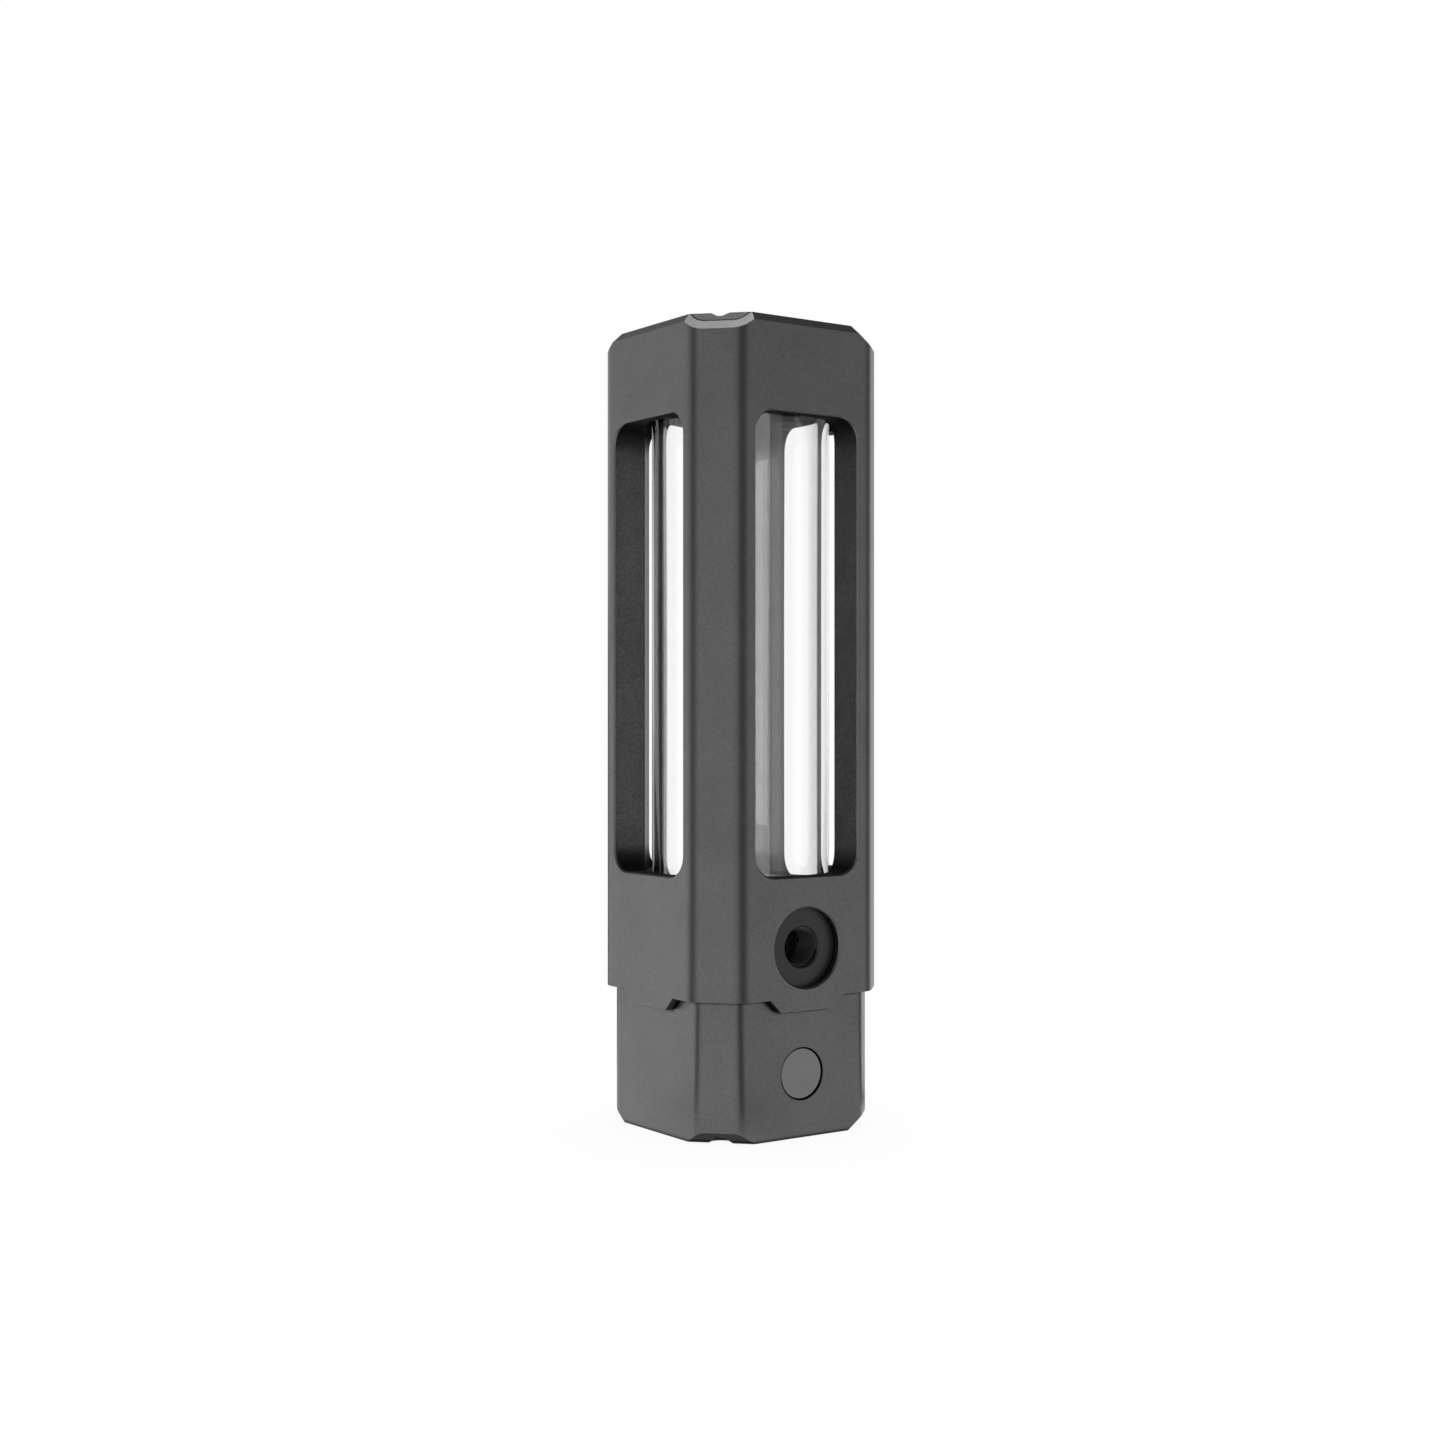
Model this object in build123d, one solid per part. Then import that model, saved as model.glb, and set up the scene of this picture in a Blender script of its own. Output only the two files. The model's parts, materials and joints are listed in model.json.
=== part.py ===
from build123d import *
import os
from math import cos, degrees, radians, sin, sqrt

# Coolant pump with a glass reservoir in an aluminium armour sleeve.
# Millimetres, +Z up, origin at the centre of the base. The side port faces -Y.

# Armour sleeve
sleeve_wall = 5.0        # at the middle of a face, outside the bore
corner_leg = 11.6        # what a flattened corner takes off each face
corner_radius = 8.9      # rounding on both sides of a flattened corner
skirt_wall = 3.0         # wall where other pieces lie inside the sleeve
skirt_overlap = 2.25     # how far the skirt hangs over the lower cover
tab_drop = 4.2           # tab below the skirt's edge
tab_half_width = 14.85   # at the skirt's edge; the sides run in at 45 degrees
rim_bevel = 2.9          # bevel along the four upper edges
corner_bevel = 6.1       # bevel at the four upper corners, measured on the corner face
pillar_edge = 5.4        # face left between a flattened corner and the window beside it
window_radius = 7.5
window_sill = 2.9        # from the pump top's collar up to the windows
window_head = 19.1       # from the windows up to the pillars' ends
window_bevel = 0.5

# Glass tube and its seats
tube_radius = 30.0
tube_wall = 4.0
tube_length = 180.0
tube_surround = 2.5      # free space between the tube and the sleeve's bore
tube_side_gap = 0.15     # between the tube and the collar around its end
tube_end_gap = 0.3       # left above the tube for its length to vary
spigot_gap = 0.4         # between the tube and the spigot inside its end
spigot_wall = 4.6
seal_height = 2.4
seal_depth = 1.8         # groove in the spigot
seal_offset = 3.0        # from the tube's end to the seal

# Lower cover, pump top, top cap and top plate, from the base up
cover_height = 48.0
block_height = 28.0      # pump top between the cover and the pillars
collar_height = 6.0      # pump top's collar inside the sleeve's bore
tube_seat_depth = 10.0   # from the collar's rim down to the tube's seat
pillar_margin = 1.5      # pillars' ends above the tube's end
cap_thickness = 6.0
cap_collar_length = 8.5
cap_spigot_length = 10.5
cap_roof = 3.0           # solid part of the spigot, for the upper ports' threads
plate_thickness = 6.0
foot_bevel = 4.0         # bevel on the lower cover's corners
fit_gap = 0.1            # between pieces that slide together
lid_gap = 0.4            # visible joint around the top plate

# Threaded ports, G1/4
port_radius = 6.58       # thread major radius
port_depth = 12.0
port_mouth = 0.5         # chamfer at the mouth
side_port_rise = 13.8    # side port's axis above the lower cover
side_port_clear = 13.0   # radius of the sleeve's opening around the side port
top_port_spacing = 14.0  # each upper port from the centre
top_port_clear = 12.0    # radius of the top plate's openings

# Badge
badge_height = 20.7
badge_radius = 8.2
badge_gap = 0.37         # ring of shadow around the badge
badge_depth = 1.6        # pocket depth
badge_recess = 0.35      # badge face below the cover's face

# Cap screws, M3
screw_radius = 1.5
screw_clear = 0.2
thread_clear = 0.05
head_radius = 2.75
head_height = 3.0
socket_size = 2.5        # across the flats
socket_depth = 1.6
bore_head_radius = 3.0   # counterbore
top_screw_inset = 7.83   # from the flattened corner's face to the screw's axis
top_screw_sink = 4.5
top_screw_flare = 0.5
top_screw_grip = 8.5     # thread engaged in the sleeve's pillar
base_screw_inset = 7.33
base_screw_web = 14.0    # lower cover's material between the screw's head and the pump top
base_screw_flare = 0.9
base_screw_grip = 8.0
thread_spare = 3.0       # tapped depth past the screw's end

# Pump motor
flange_rim = 4.5         # how far the flange stands out around the motor
flange_thickness = 6.0
motor_length = 28.0      # from the flange down to the rear cover
motor_wall = 2.0
motor_roof = 3.0         # under the separator can's rim
motor_gap = 0.7          # around the motor in the lower cover
flange_gap = 0.2
rear_cover_height = 8.0
rear_cover_floor = 2.0
rear_cover_round = 1.6
lip_height = 2.0
can_radius = 16.2        # inside of the separator can's bowl
can_wall = 0.5
can_rim_inset = 0.5      # can's rim inside the line of the motor's inner wall
rotor_gap = 0.7          # between the rotor magnet and the can
hub_radius = 8.0
hub_length = 9.0         # below the impeller
ball_radius = 3.5
ball_drop = 3.5          # ball's centre below the flange's face
post_radius = 2.0
cup_radius = 6.0
cup_height = 6.0
pump_seal_inset = 3.2    # seal's outer edge inside the flange's edge
pump_seal_width = 2.6
pump_seal_height = 1.7

# Impeller and the chamber around it
impeller_radius = 16.5
impeller_lift = 0.8      # back plate above the flange's face
plate_web = 1.2          # thickness of the impeller's two plates
vane_height = 8.0
vane_count = 7
vane_thickness = 1.4
vane_inner = 8.3
vane_sweep = 58.0        # degrees that a vane trails from eye to rim
vane_bow = 0.42          # share of the sweep that is reached half way out
eye_inner = 7.6
eye_outer = 9.0
eye_height = 2.2
eye_gap = 0.4
nose_height = 2.0
shroud_gap = 0.8         # between the impeller and the chamber's roof
throat_height = 1.0      # straight inlet above the eye, below the funnel
volute_gap = 2.0         # rim of the impeller to the start of the spiral
volute_step = 0.9        # growth of the spiral each quarter turn
outlet_radius = 4.3
outlet_shift = 1.6       # outlet passage beside and below the port's axis

# Stator
stator_gap = 0.2         # around the stator core in the motor's wall
stator_ring = 2.8
stator_drop = 6.0        # stator core's upper edge below the flange's face
stator_height = 12.0
pole_count = 6
pole_width = 6.0
pole_inner = 9.5
pole_gap = 0.3
coil_wire = 2.4          # build of each winding around its pole
coil_length = 4.0        # of each winding, outwards along its pole
coil_inner_gap = 0.4     # from the can's bowl to the windings
coil_outer_gap = 0.9     # from the windings to the stator's ring

# Circuit board, rear cover fittings
board_gap = 0.5          # around the circuit board
board_thickness = 1.6
board_drop = 24.0        # below the flange's face
capacitor_radius = 4.0
capacitor_height = 7.5
capacitor_offset = 12.0
chip_size = 5.0
chip_height = 1.2
chip_offset = 10.0
dial_inset = 13.5        # from the rear cover's edge to the dial's centre
dial_radius = 5.0
dial_shaft_radius = 1.5
dial_slot = 1.2
dial_slot_depth = 1.2
dial_slot_margin = 0.95  # from the slot's end to the dial's edge
dial_grip = 1.9          # how far the shaft reaches into the trimmer
dial_collar = 1.0        # width of the collar that keeps the dial in
trimmer_radius = 4.5
trimmer_height = 5.0
running_gap = 0.1
gland_radius = 4.0
gland_neck = 3.4
gland_bore = 2.0
gland_flange = 1.6
gland_length = 4.4       # outside the rear cover
gland_rise = 4.2         # gland's axis above the rear cover's face
notch_width = 13.0
notch_rise = 4.8         # notch's arch above the gland's axis

# Fill plug
plug_clear = 0.1
plug_length = 8.6
plug_head_rim = 0.5      # plug's head around its seal
plug_head_height = 3.6
plug_seat_gap = 0.3
plug_socket = 6.0
plug_socket_depth = 5.0
plug_edge = 0.6
plug_seal_inset = 0.22   # seal's inner edge outside the port's mouth
plug_seal_width = 1.7
plug_seal_height = 1.5
plug_groove_gap = 0.2

spare = 1.0              # how far a cut runs past the face that it opens

# Heights, from the base up
flange_low = cover_height - flange_thickness / 2
flange_high = flange_low + flange_thickness
skirt_low = cover_height - skirt_overlap
tab_low = skirt_low - tab_drop
pillar_low = cover_height + block_height
collar_high = pillar_low + collar_height
tube_low = collar_high - tube_seat_depth
tube_high = tube_low + tube_length
tube_stop = tube_high + tube_end_gap
pillar_high = tube_high + pillar_margin
cap_high = pillar_high + cap_thickness
body_height = cap_high + plate_thickness
window_low = collar_high + window_sill
window_high = pillar_high - window_head
port_height = cover_height + side_port_rise
rear_joint = flange_low - motor_length
rear_face = rear_joint - rear_cover_height
ball_height = flange_high - ball_drop
back_plate_low = flange_high + impeller_lift
vane_low = back_plate_low + plate_web
vane_high = vane_low + vane_height
shroud_high = vane_high + plate_web
eye_high = shroud_high + eye_height
volute_high = shroud_high + shroud_gap
cup_high = ball_height + cup_height
stator_high = flange_high - stator_drop
stator_low = stator_high - stator_height
stator_middle = (stator_low + stator_high) / 2
pole_height = stator_height - 2 * coil_wire
board_low = flange_high - board_drop
gland_height = rear_face + gland_rise
notch_high = gland_height + notch_rise
top_screw_seat = body_height - top_screw_sink
top_screw_end = pillar_high - top_screw_grip
base_screw_seat = cover_height - base_screw_web
base_screw_end = pillar_low + base_screw_grip

# Radii, widths and insets
bore_radius = tube_radius + tube_surround
body_width = 2 * (bore_radius + sleeve_wall)
window_width = body_width - 2 * (corner_leg + pillar_edge)
tube_inner = tube_radius - tube_wall
spigot_radius = tube_inner - spigot_gap
inner_inset = skirt_wall + fit_gap
cover_face = body_width / 2 - inner_inset
corner_face = (body_width - corner_leg) / sqrt(2)
top_screw_radius = corner_face - top_screw_inset
base_screw_radius = corner_face - base_screw_inset
screw_hole_radius = screw_radius + screw_clear
tapped_radius = screw_radius + thread_clear
can_outer = can_radius + can_wall
coil_inner = can_radius + coil_inner_gap
coil_outer = coil_inner + coil_length
stator_radius = coil_outer + coil_outer_gap + stator_ring
motor_inner = stator_radius + stator_gap
motor_radius = motor_inner + motor_wall
motor_bay_radius = motor_radius + motor_gap
flange_radius = motor_radius + flange_rim
flange_bay_radius = flange_radius + flange_gap
can_rim_radius = motor_inner - can_rim_inset
dial_offset = motor_radius - dial_inset
board_radius = motor_inner - board_gap
gland_seat = motor_inner - motor_wall
pump_seal_outer = flange_radius - pump_seal_inset
pump_seal_inner = pump_seal_outer - pump_seal_width
inlet_radius = eye_outer + eye_gap
plug_seal_inner = port_radius + port_mouth + plug_seal_inset
plug_seal_outer = plug_seal_inner + plug_seal_width
plug_head_radius = plug_seal_outer + plug_head_rim
plug_seat = cap_high + plug_seat_gap


# Shapes that several pieces share

def rod(radius, low, high):
    """Upright cylinder between two heights."""
    upright = (Align.CENTER, Align.CENTER, Align.MIN)
    return Pos(0, 0, low) * Cylinder(radius, high - low, align=upright)


def ring(outer, inner, low, high):
    """Upright tube between two heights."""
    return rod(outer, low, high) - rod(inner, low - spare, high + spare)


def turned(points):
    """Solid turned about the upright axis from (radius, height) points."""
    return revolve(Plane.XZ * make_face(Polyline(*points, close=True)), Axis.Z)


def flare(radius, height, size, up=1):
    """Cut for a 45 degree chamfer on a hole's mouth; up is -1 on a downward mouth."""
    start = height - up * size
    end = height + up * spare
    return turned([(0, start), (radius, start), (radius + size + spare, end), (0, end)])


def outline(inset):
    """Plan of the body, set in from the sleeve's faces: a square with flattened, rounded corners."""
    width = body_width - 2 * inset
    plan = Rectangle(width, width)
    plan = chamfer(plan.vertices(), corner_leg - inset * (2 - sqrt(2)))
    return fillet(plan.vertices(), corner_radius - inset)


def block(inset, low, high):
    """Upright block with the body's outline."""
    return Pos(0, 0, low) * extrude(outline(inset), high - low)


def around(shape, count, first=0.0):
    """Copies of a shape, evenly about the upright axis."""
    return [Rot(0, 0, first + 360 / count * step) * shape for step in range(count)]


def at_corners(shape, distance):
    """Four copies of a shape on the body's diagonals."""
    return around(Pos(distance, 0, 0) * shape, 4, 45)


def toward_port(shape, height):
    """Turns an upright shape to point at the port's face, its axis at the given height."""
    return Pos(0, 0, height) * Rot(90, 0, 0) * shape


def edge_bevel(distance, height, size, up=1):
    """Wedge that takes a 45 degree bevel off an edge that lies at a distance from the axis."""
    outside = distance + spare
    beyond = height + up * spare
    slope_low = (outside, height - up * (size + spare))
    slope_high = (distance - size - spare, beyond)
    corners = [(outside, beyond), slope_low, slope_high]
    return extrude(Plane.XZ * make_face(Polyline(*corners, close=True)), body_width, both=True)


def hexagon(across_flats, low, high):
    """Upright hexagonal prism."""
    return Pos(0, 0, low) * extrude(RegularPolygon(across_flats / sqrt(3), 6), high - low)


def polar(radius, angle):
    """Point at a radius and an angle in degrees."""
    return (radius * cos(radians(angle)), radius * sin(radians(angle)))


def port_thread(end, mouth):
    """Upright threaded hole with a chamfered mouth."""
    return rod(port_radius, end, mouth + spare) + flare(port_radius, mouth, port_mouth)


# Sleeve, covers and tube

def face_tab():
    """Tab that the skirt hangs over the lower cover, on the +Y face."""
    low_half = tab_half_width - tab_drop
    corners = [
        (-tab_half_width, skirt_low),
        (-low_half, tab_low),
        (low_half, tab_low),
        (tab_half_width, skirt_low),
    ]
    plan = Plane.XZ.offset(-body_width / 2) * make_face(Polyline(*corners, close=True))
    return extrude(plan, skirt_wall)


def window_cut():
    """Cut for the window on the -Y face, from the axis outwards."""
    plan = RectangleRounded(window_width, window_high - window_low, window_radius)
    middle = (window_low + window_high) / 2
    return extrude(Plane.XZ * Pos(0, middle) * plan, body_width)


def on_window_rim(edge):
    """Whether an edge of the sleeve lies on the outer rim of a window."""
    middle = edge.center()
    near, far = sorted((abs(middle.X), abs(middle.Y)))
    on_face = far > body_width / 2 - fit_gap
    in_width = near < window_width / 2 + fit_gap
    in_height = window_low - fit_gap < middle.Z < window_high + fit_gap
    return on_face and in_width and in_height


def armour_sleeve():
    sleeve = block(0, skirt_low, body_height) + around(face_tab(), 4)
    sleeve -= block(skirt_wall, tab_low - spare, pillar_low)
    sleeve -= rod(bore_radius, pillar_low - spare, pillar_high + spare)
    sleeve -= block(skirt_wall, pillar_high, body_height + spare)
    sleeve -= around(window_cut(), 4)
    sleeve = chamfer(sleeve.edges().filter_by(on_window_rim), window_bevel)
    sleeve -= around(edge_bevel(body_width / 2, body_height, rim_bevel), 4)
    sleeve -= around(edge_bevel(corner_face, body_height, corner_bevel), 4, 45)
    opening = rod(side_port_clear, bore_radius - skirt_wall, body_width)
    opening += flare(side_port_clear, body_width / 2, window_bevel)
    sleeve -= toward_port(opening, port_height)
    top_thread = rod(tapped_radius, top_screw_end - thread_spare, pillar_high + spare)
    base_thread = rod(tapped_radius, pillar_low - spare, base_screw_end + thread_spare)
    sleeve -= at_corners(top_thread, top_screw_radius)
    return sleeve - at_corners(base_thread, base_screw_radius)


def glass_tube():
    return ring(tube_radius, tube_inner, tube_low, tube_high)


def tube_socket(low, high):
    """Ring-shaped slot that takes the end of the tube."""
    return ring(tube_radius + tube_side_gap, spigot_radius, low, high)


def tube_seal(low):
    """Seal in a spigot's groove, squeezed against the tube's inner wall."""
    inner = spigot_radius - seal_depth
    return ring(tube_inner - fit_gap / 2, inner + fit_gap / 2, low + fit_gap, low + seal_height)


def seal_groove(low):
    inner = spigot_radius - seal_depth
    return ring(spigot_radius + spare, inner, low, low + seal_height + fit_gap)


def top_plate():
    plate = block(skirt_wall + lid_gap, cap_high, body_height)
    plate -= around(edge_bevel(corner_face, body_height, corner_bevel), 4, 45)
    hole = rod(screw_hole_radius, cap_high - spare, top_screw_seat + spare)
    hole += rod(bore_head_radius, top_screw_seat, body_height + spare)
    hole += flare(bore_head_radius, body_height, top_screw_flare)
    plate -= at_corners(hole, top_screw_radius)
    opening = rod(top_port_clear, cap_high - spare, body_height + spare)
    opening += flare(top_port_clear, body_height, window_bevel)
    return plate - around(Pos(top_port_spacing, 0, 0) * opening, 2)


def top_cap():
    spigot_low = tube_stop - cap_spigot_length
    cap = block(inner_inset, pillar_high, cap_high)
    cap += rod(bore_radius - tube_side_gap, pillar_high - cap_collar_length, pillar_high)
    cap -= rod(tube_radius + tube_side_gap, pillar_high - cap_collar_length - spare, tube_stop)
    spigot = rod(spigot_radius, spigot_low, tube_stop)
    hollow_high = tube_stop - cap_roof
    spigot -= rod(spigot_radius - spigot_wall, spigot_low - spare, hollow_high)
    cap += spigot - seal_groove(tube_high - seal_offset - seal_height)
    thread = port_thread(hollow_high - spare, cap_high)
    cap -= around(Pos(top_port_spacing, 0, 0) * thread, 2)
    hole = rod(screw_hole_radius, pillar_high - spare, cap_high + spare)
    return cap - at_corners(hole, top_screw_radius)


def lower_cover():
    cover = block(inner_inset, 0, cover_height)
    cover -= rod(motor_bay_radius, -spare, flange_low + spare)
    cover -= rod(flange_bay_radius, flange_low, cover_height + spare)
    cover -= flare(motor_bay_radius, 0, window_bevel, -1)
    cover -= around(edge_bevel(corner_face - inner_inset, 0, foot_bevel, -1), 4, 45)
    hole = rod(bore_head_radius, -spare, base_screw_seat)
    hole += flare(bore_head_radius, 0, base_screw_flare, -1)
    hole += rod(screw_hole_radius, 0, cover_height + spare)
    cover -= at_corners(hole, base_screw_radius)
    pocket = rod(badge_radius + badge_gap, cover_face - badge_depth, cover_face + spare)
    cover -= toward_port(pocket, badge_height)
    notch = Plane.XZ.offset(-motor_radius) * SlotOverall(2 * notch_high, notch_width, rotation=90)
    return cover - extrude(notch, motor_radius - body_width)


def badge_disc():
    low = cover_face - badge_depth
    high = cover_face - badge_recess
    return toward_port(rod(badge_radius, low, high), badge_height)


# Pump top with the spiral chamber

def volute_plan():
    """Spiral of four tangent quarter arcs, widening towards the outlet on the port's side."""
    start = impeller_radius + volute_gap
    half = volute_step / 2
    centres = [(half, half), (-half, half), (-half, -half), (half, -half)]
    arcs = []
    for quarter, centre in enumerate(centres):
        radius = start + quarter * volute_step
        arcs.append(CenterArc(centre, radius, 90 * quarter - 90, 90))
    tongue = Line(arcs[-1] @ 1, arcs[0] @ 0)
    return make_face([*arcs, tongue])


def reservoir_floor():
    """Funnel from the tube down to the impeller's eye."""
    top = collar_high + spare
    shoulder = spigot_radius - spigot_wall
    throat = eye_high + throat_height
    return turned([
        (0, top),
        (shoulder, top),
        (shoulder, tube_low),
        (inlet_radius, throat),
        (inlet_radius, volute_high - spare),
        (0, volute_high - spare),
    ])


def pump_top():
    top = block(inner_inset, cover_height, pillar_low)
    top += rod(bore_radius - tube_side_gap, pillar_low, collar_high)
    top -= tube_socket(tube_low, collar_high + spare)
    top -= rod(spigot_radius + spare, collar_high - spare, collar_high + spare)
    top -= seal_groove(tube_low + seal_offset)
    top -= reservoir_floor()
    top -= rod(flange_bay_radius, cover_height - spare, flange_high)
    top -= Pos(0, 0, flange_high - spare) * extrude(volute_plan(), volute_high - flange_high + spare)
    groove_high = flange_high + pump_seal_height + fit_gap
    top -= ring(pump_seal_outer + fit_gap, pump_seal_inner - fit_gap, flange_high - spare, groove_high)
    top -= toward_port(port_thread(cover_face - port_depth, cover_face), port_height)
    outlet = Pos(-outlet_shift, 0, 0) * rod(outlet_radius, impeller_radius, cover_face - port_depth + spare)
    top -= toward_port(outlet, port_height - outlet_shift)
    hole = rod(screw_hole_radius, cover_height - spare, pillar_low + spare)
    return top - at_corners(hole, base_screw_radius)


def pump_seal():
    return ring(pump_seal_outer, pump_seal_inner, flange_high, flange_high + pump_seal_height)


# Wet rotor

def vane_plan():
    """One vane, trailing as it runs out from the eye to the rim."""
    rim = impeller_radius - fit_gap
    middle = (vane_inner + rim) / 2
    radii = (vane_inner, middle, rim)
    angles = (0, -vane_sweep * vane_bow, -vane_sweep)
    lead = ThreePointArc(*[polar(*place) for place in zip(radii, angles)])
    behind = [angle + degrees(vane_thickness / radius) for radius, angle in zip(radii, angles)]
    trail = ThreePointArc(*[polar(*place) for place in zip(radii, behind)])
    return make_face([lead, trail, Line(lead @ 0, trail @ 0), Line(lead @ 1, trail @ 1)])


def impeller():
    wheel = rod(impeller_radius, back_plate_low, vane_low)
    wheel += turned([
        (0, vane_low - plate_web),
        (vane_inner - plate_web, vane_low - plate_web),
        (vane_inner - plate_web, vane_low),
        (cup_radius / 2, cup_high + nose_height),
        (0, cup_high + nose_height),
    ])
    wheel += rod(hub_radius - fit_gap / 2, back_plate_low - hub_length, vane_low)
    wheel -= rod(cup_radius, back_plate_low - hub_length - spare, cup_high)
    wheel += around(Pos(0, 0, vane_low) * extrude(vane_plan(), vane_height), vane_count)
    wheel += ring(impeller_radius, eye_inner, vane_high, shroud_high)
    return wheel + ring(eye_outer, eye_inner, shroud_high, eye_high)


def rotor_magnet():
    magnet_radius = can_radius - rotor_gap
    shell = Pos(0, 0, flange_high) * Sphere(magnet_radius)
    body = ring(magnet_radius + spare, hub_radius, back_plate_low - hub_length - plate_web, back_plate_low)
    return body & shell


def bearing_cup():
    cup = rod(cup_radius - fit_gap / 2, ball_height, cup_high)
    return cup - Pos(0, 0, ball_height) * Sphere(ball_radius + running_gap)


# Dry motor

def bearing_ball():
    ball = Pos(0, 0, ball_height) * Sphere(ball_radius)
    return ball - rod(post_radius, ball_height - 2 * ball_radius, ball_height - ball_radius / 2)


def bearing_post():
    post = rod(post_radius, flange_high - can_radius - spare, ball_height - ball_radius / 2)
    return post & (Pos(0, 0, flange_high) * Sphere(can_radius))


def separator_can():
    centre = Pos(0, 0, flange_high)
    bowl = rod(can_radius + spare, flange_high - can_radius - spare, flange_high)
    bowl = bowl & (centre * Sphere(can_outer))
    bowl += rod(can_rim_radius, flange_high - can_wall, flange_high)
    return bowl - centre * Sphere(can_radius)


def motor_housing():
    rim_seat = flange_high - can_wall
    roof_low = rim_seat - motor_roof
    well = can_outer + pole_gap
    return turned([
        (motor_radius, rear_joint),
        (motor_radius, flange_low),
        (flange_radius, flange_low),
        (flange_radius, flange_high),
        (can_rim_radius + fit_gap, flange_high),
        (can_rim_radius + fit_gap, rim_seat),
        (well, rim_seat),
        (well, roof_low),
        (motor_inner, roof_low),
        (motor_inner, rear_joint),
    ])


def stator_core():
    """Laminated ring with poles that close in on the can's bowl."""
    core = ring(stator_radius, stator_radius - stator_ring, stator_low, stator_high)
    reach = stator_radius - stator_ring / 2
    pole = Pos(reach / 2, 0, stator_middle) * Box(reach, pole_width, pole_height)
    core += around(pole, pole_count)
    core -= rod(pole_inner, stator_low - spare, stator_high + spare)
    return core - Pos(0, 0, flange_high) * Sphere(can_outer + pole_gap)


def stator_coils():
    """One winding around each pole."""
    depth = coil_outer - coil_inner
    wide = pole_width + 2 * coil_wire
    outer = extrude(Plane.YZ * RectangleRounded(wide, stator_height, coil_wire), depth / 2, both=True)
    slot = Box(depth + spare, pole_width + fit_gap, pole_height + fit_gap)
    centre = Pos((coil_outer + coil_inner) / 2, 0, stator_middle)
    return Compound(children=around(centre * (outer - slot), pole_count))


def circuit_board():
    board_high = board_low + board_thickness
    board = rod(board_radius, board_low, board_high)
    notch = rod(gland_radius, board_low - spare, board_high + spare)
    return board - Pos(0, board_radius, 0) * notch


def board_components():
    """Capacitor, trimmer and switching chips under the board."""
    can_place = Pos(capacitor_offset, gland_radius, 0)
    parts = [can_place * rod(capacitor_radius, board_low - capacitor_height, board_low)]
    trimmer = rod(trimmer_radius, board_low - trimmer_height, board_low)
    trimmer -= rod(dial_shaft_radius + running_gap, board_low - trimmer_height - spare, board_low - spare)
    parts.append(Pos(0, -dial_offset, 0) * trimmer)
    chip = Box(chip_size, chip_size, chip_height)
    chip_middle = board_low - chip_height / 2
    for side in (-1, 1):
        parts.append(Pos(-chip_offset, side * chip_size, chip_middle) * chip)
    return Compound(children=parts)


def rear_cover():
    cover = rod(motor_radius, rear_face, rear_joint)
    cover = fillet(cover.edges().sort_by(Axis.Z)[:1], rear_cover_round)
    cover -= rod(motor_inner, rear_face + rear_cover_floor, rear_joint + spare)
    lip = motor_inner - fit_gap
    cover += ring(lip, lip - motor_wall, rear_face + rear_cover_floor, rear_joint + lip_height)
    dial_hole = rod(dial_radius + running_gap, rear_face - spare, rear_face + rear_cover_floor + spare)
    cover -= Pos(0, -dial_offset, 0) * dial_hole
    gland_hole = rod(gland_neck + fit_gap, gland_seat - spare, motor_radius + spare)
    gland_hole += rod(gland_radius + fit_gap, gland_seat - motor_wall, gland_seat)
    return cover - Pos(0, 0, gland_height) * Rot(-90, 0, 0) * gland_hole


def cable_gland():
    """Rubber bush in the rear cover's wall; the cable's bore is empty."""
    inside = gland_seat - fit_gap
    outside = motor_radius + fit_gap
    bush = turned([
        (gland_bore, inside - gland_flange),
        (gland_radius, inside - gland_flange),
        (gland_radius, inside),
        (gland_neck, inside),
        (gland_neck, outside),
        (gland_radius, outside),
        (gland_radius, outside + gland_flange),
        (gland_neck, outside + gland_length),
        (gland_bore, outside + gland_length),
    ])
    return Pos(0, 0, gland_height) * Rot(-90, 0, 0) * bush


def speed_dial():
    """Slotted dial in the rear cover, its shaft in the trimmer."""
    floor_high = rear_face + rear_cover_floor
    dial = rod(dial_radius, rear_face + running_gap, floor_high + running_gap)
    dial += rod(dial_radius + dial_collar, floor_high + running_gap, floor_high + running_gap + dial_collar)
    dial += rod(dial_shaft_radius, floor_high, board_low - trimmer_height + dial_grip)
    slot = Box(2 * (dial_radius - dial_slot_margin), dial_slot, 2 * dial_slot_depth)
    dial -= Pos(0, 0, rear_face + running_gap) * slot
    return Pos(0, -dial_offset, 0) * dial


# Screws and the fill plug

def cap_screw(length):
    """Cap screw with its head's seat at the origin and its shank down."""
    screw = rod(head_radius, 0, head_height) + rod(screw_radius, -length, 0)
    return screw - hexagon(socket_size, head_height - socket_depth, head_height + spare)


def top_screws():
    screw = Pos(0, 0, top_screw_seat) * cap_screw(top_screw_seat - top_screw_end)
    return Compound(children=at_corners(screw, top_screw_radius))


def base_screws():
    screw = Pos(0, 0, base_screw_seat) * Rot(180, 0, 0) * cap_screw(base_screw_end - base_screw_seat)
    return Compound(children=at_corners(screw, base_screw_radius))


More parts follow.
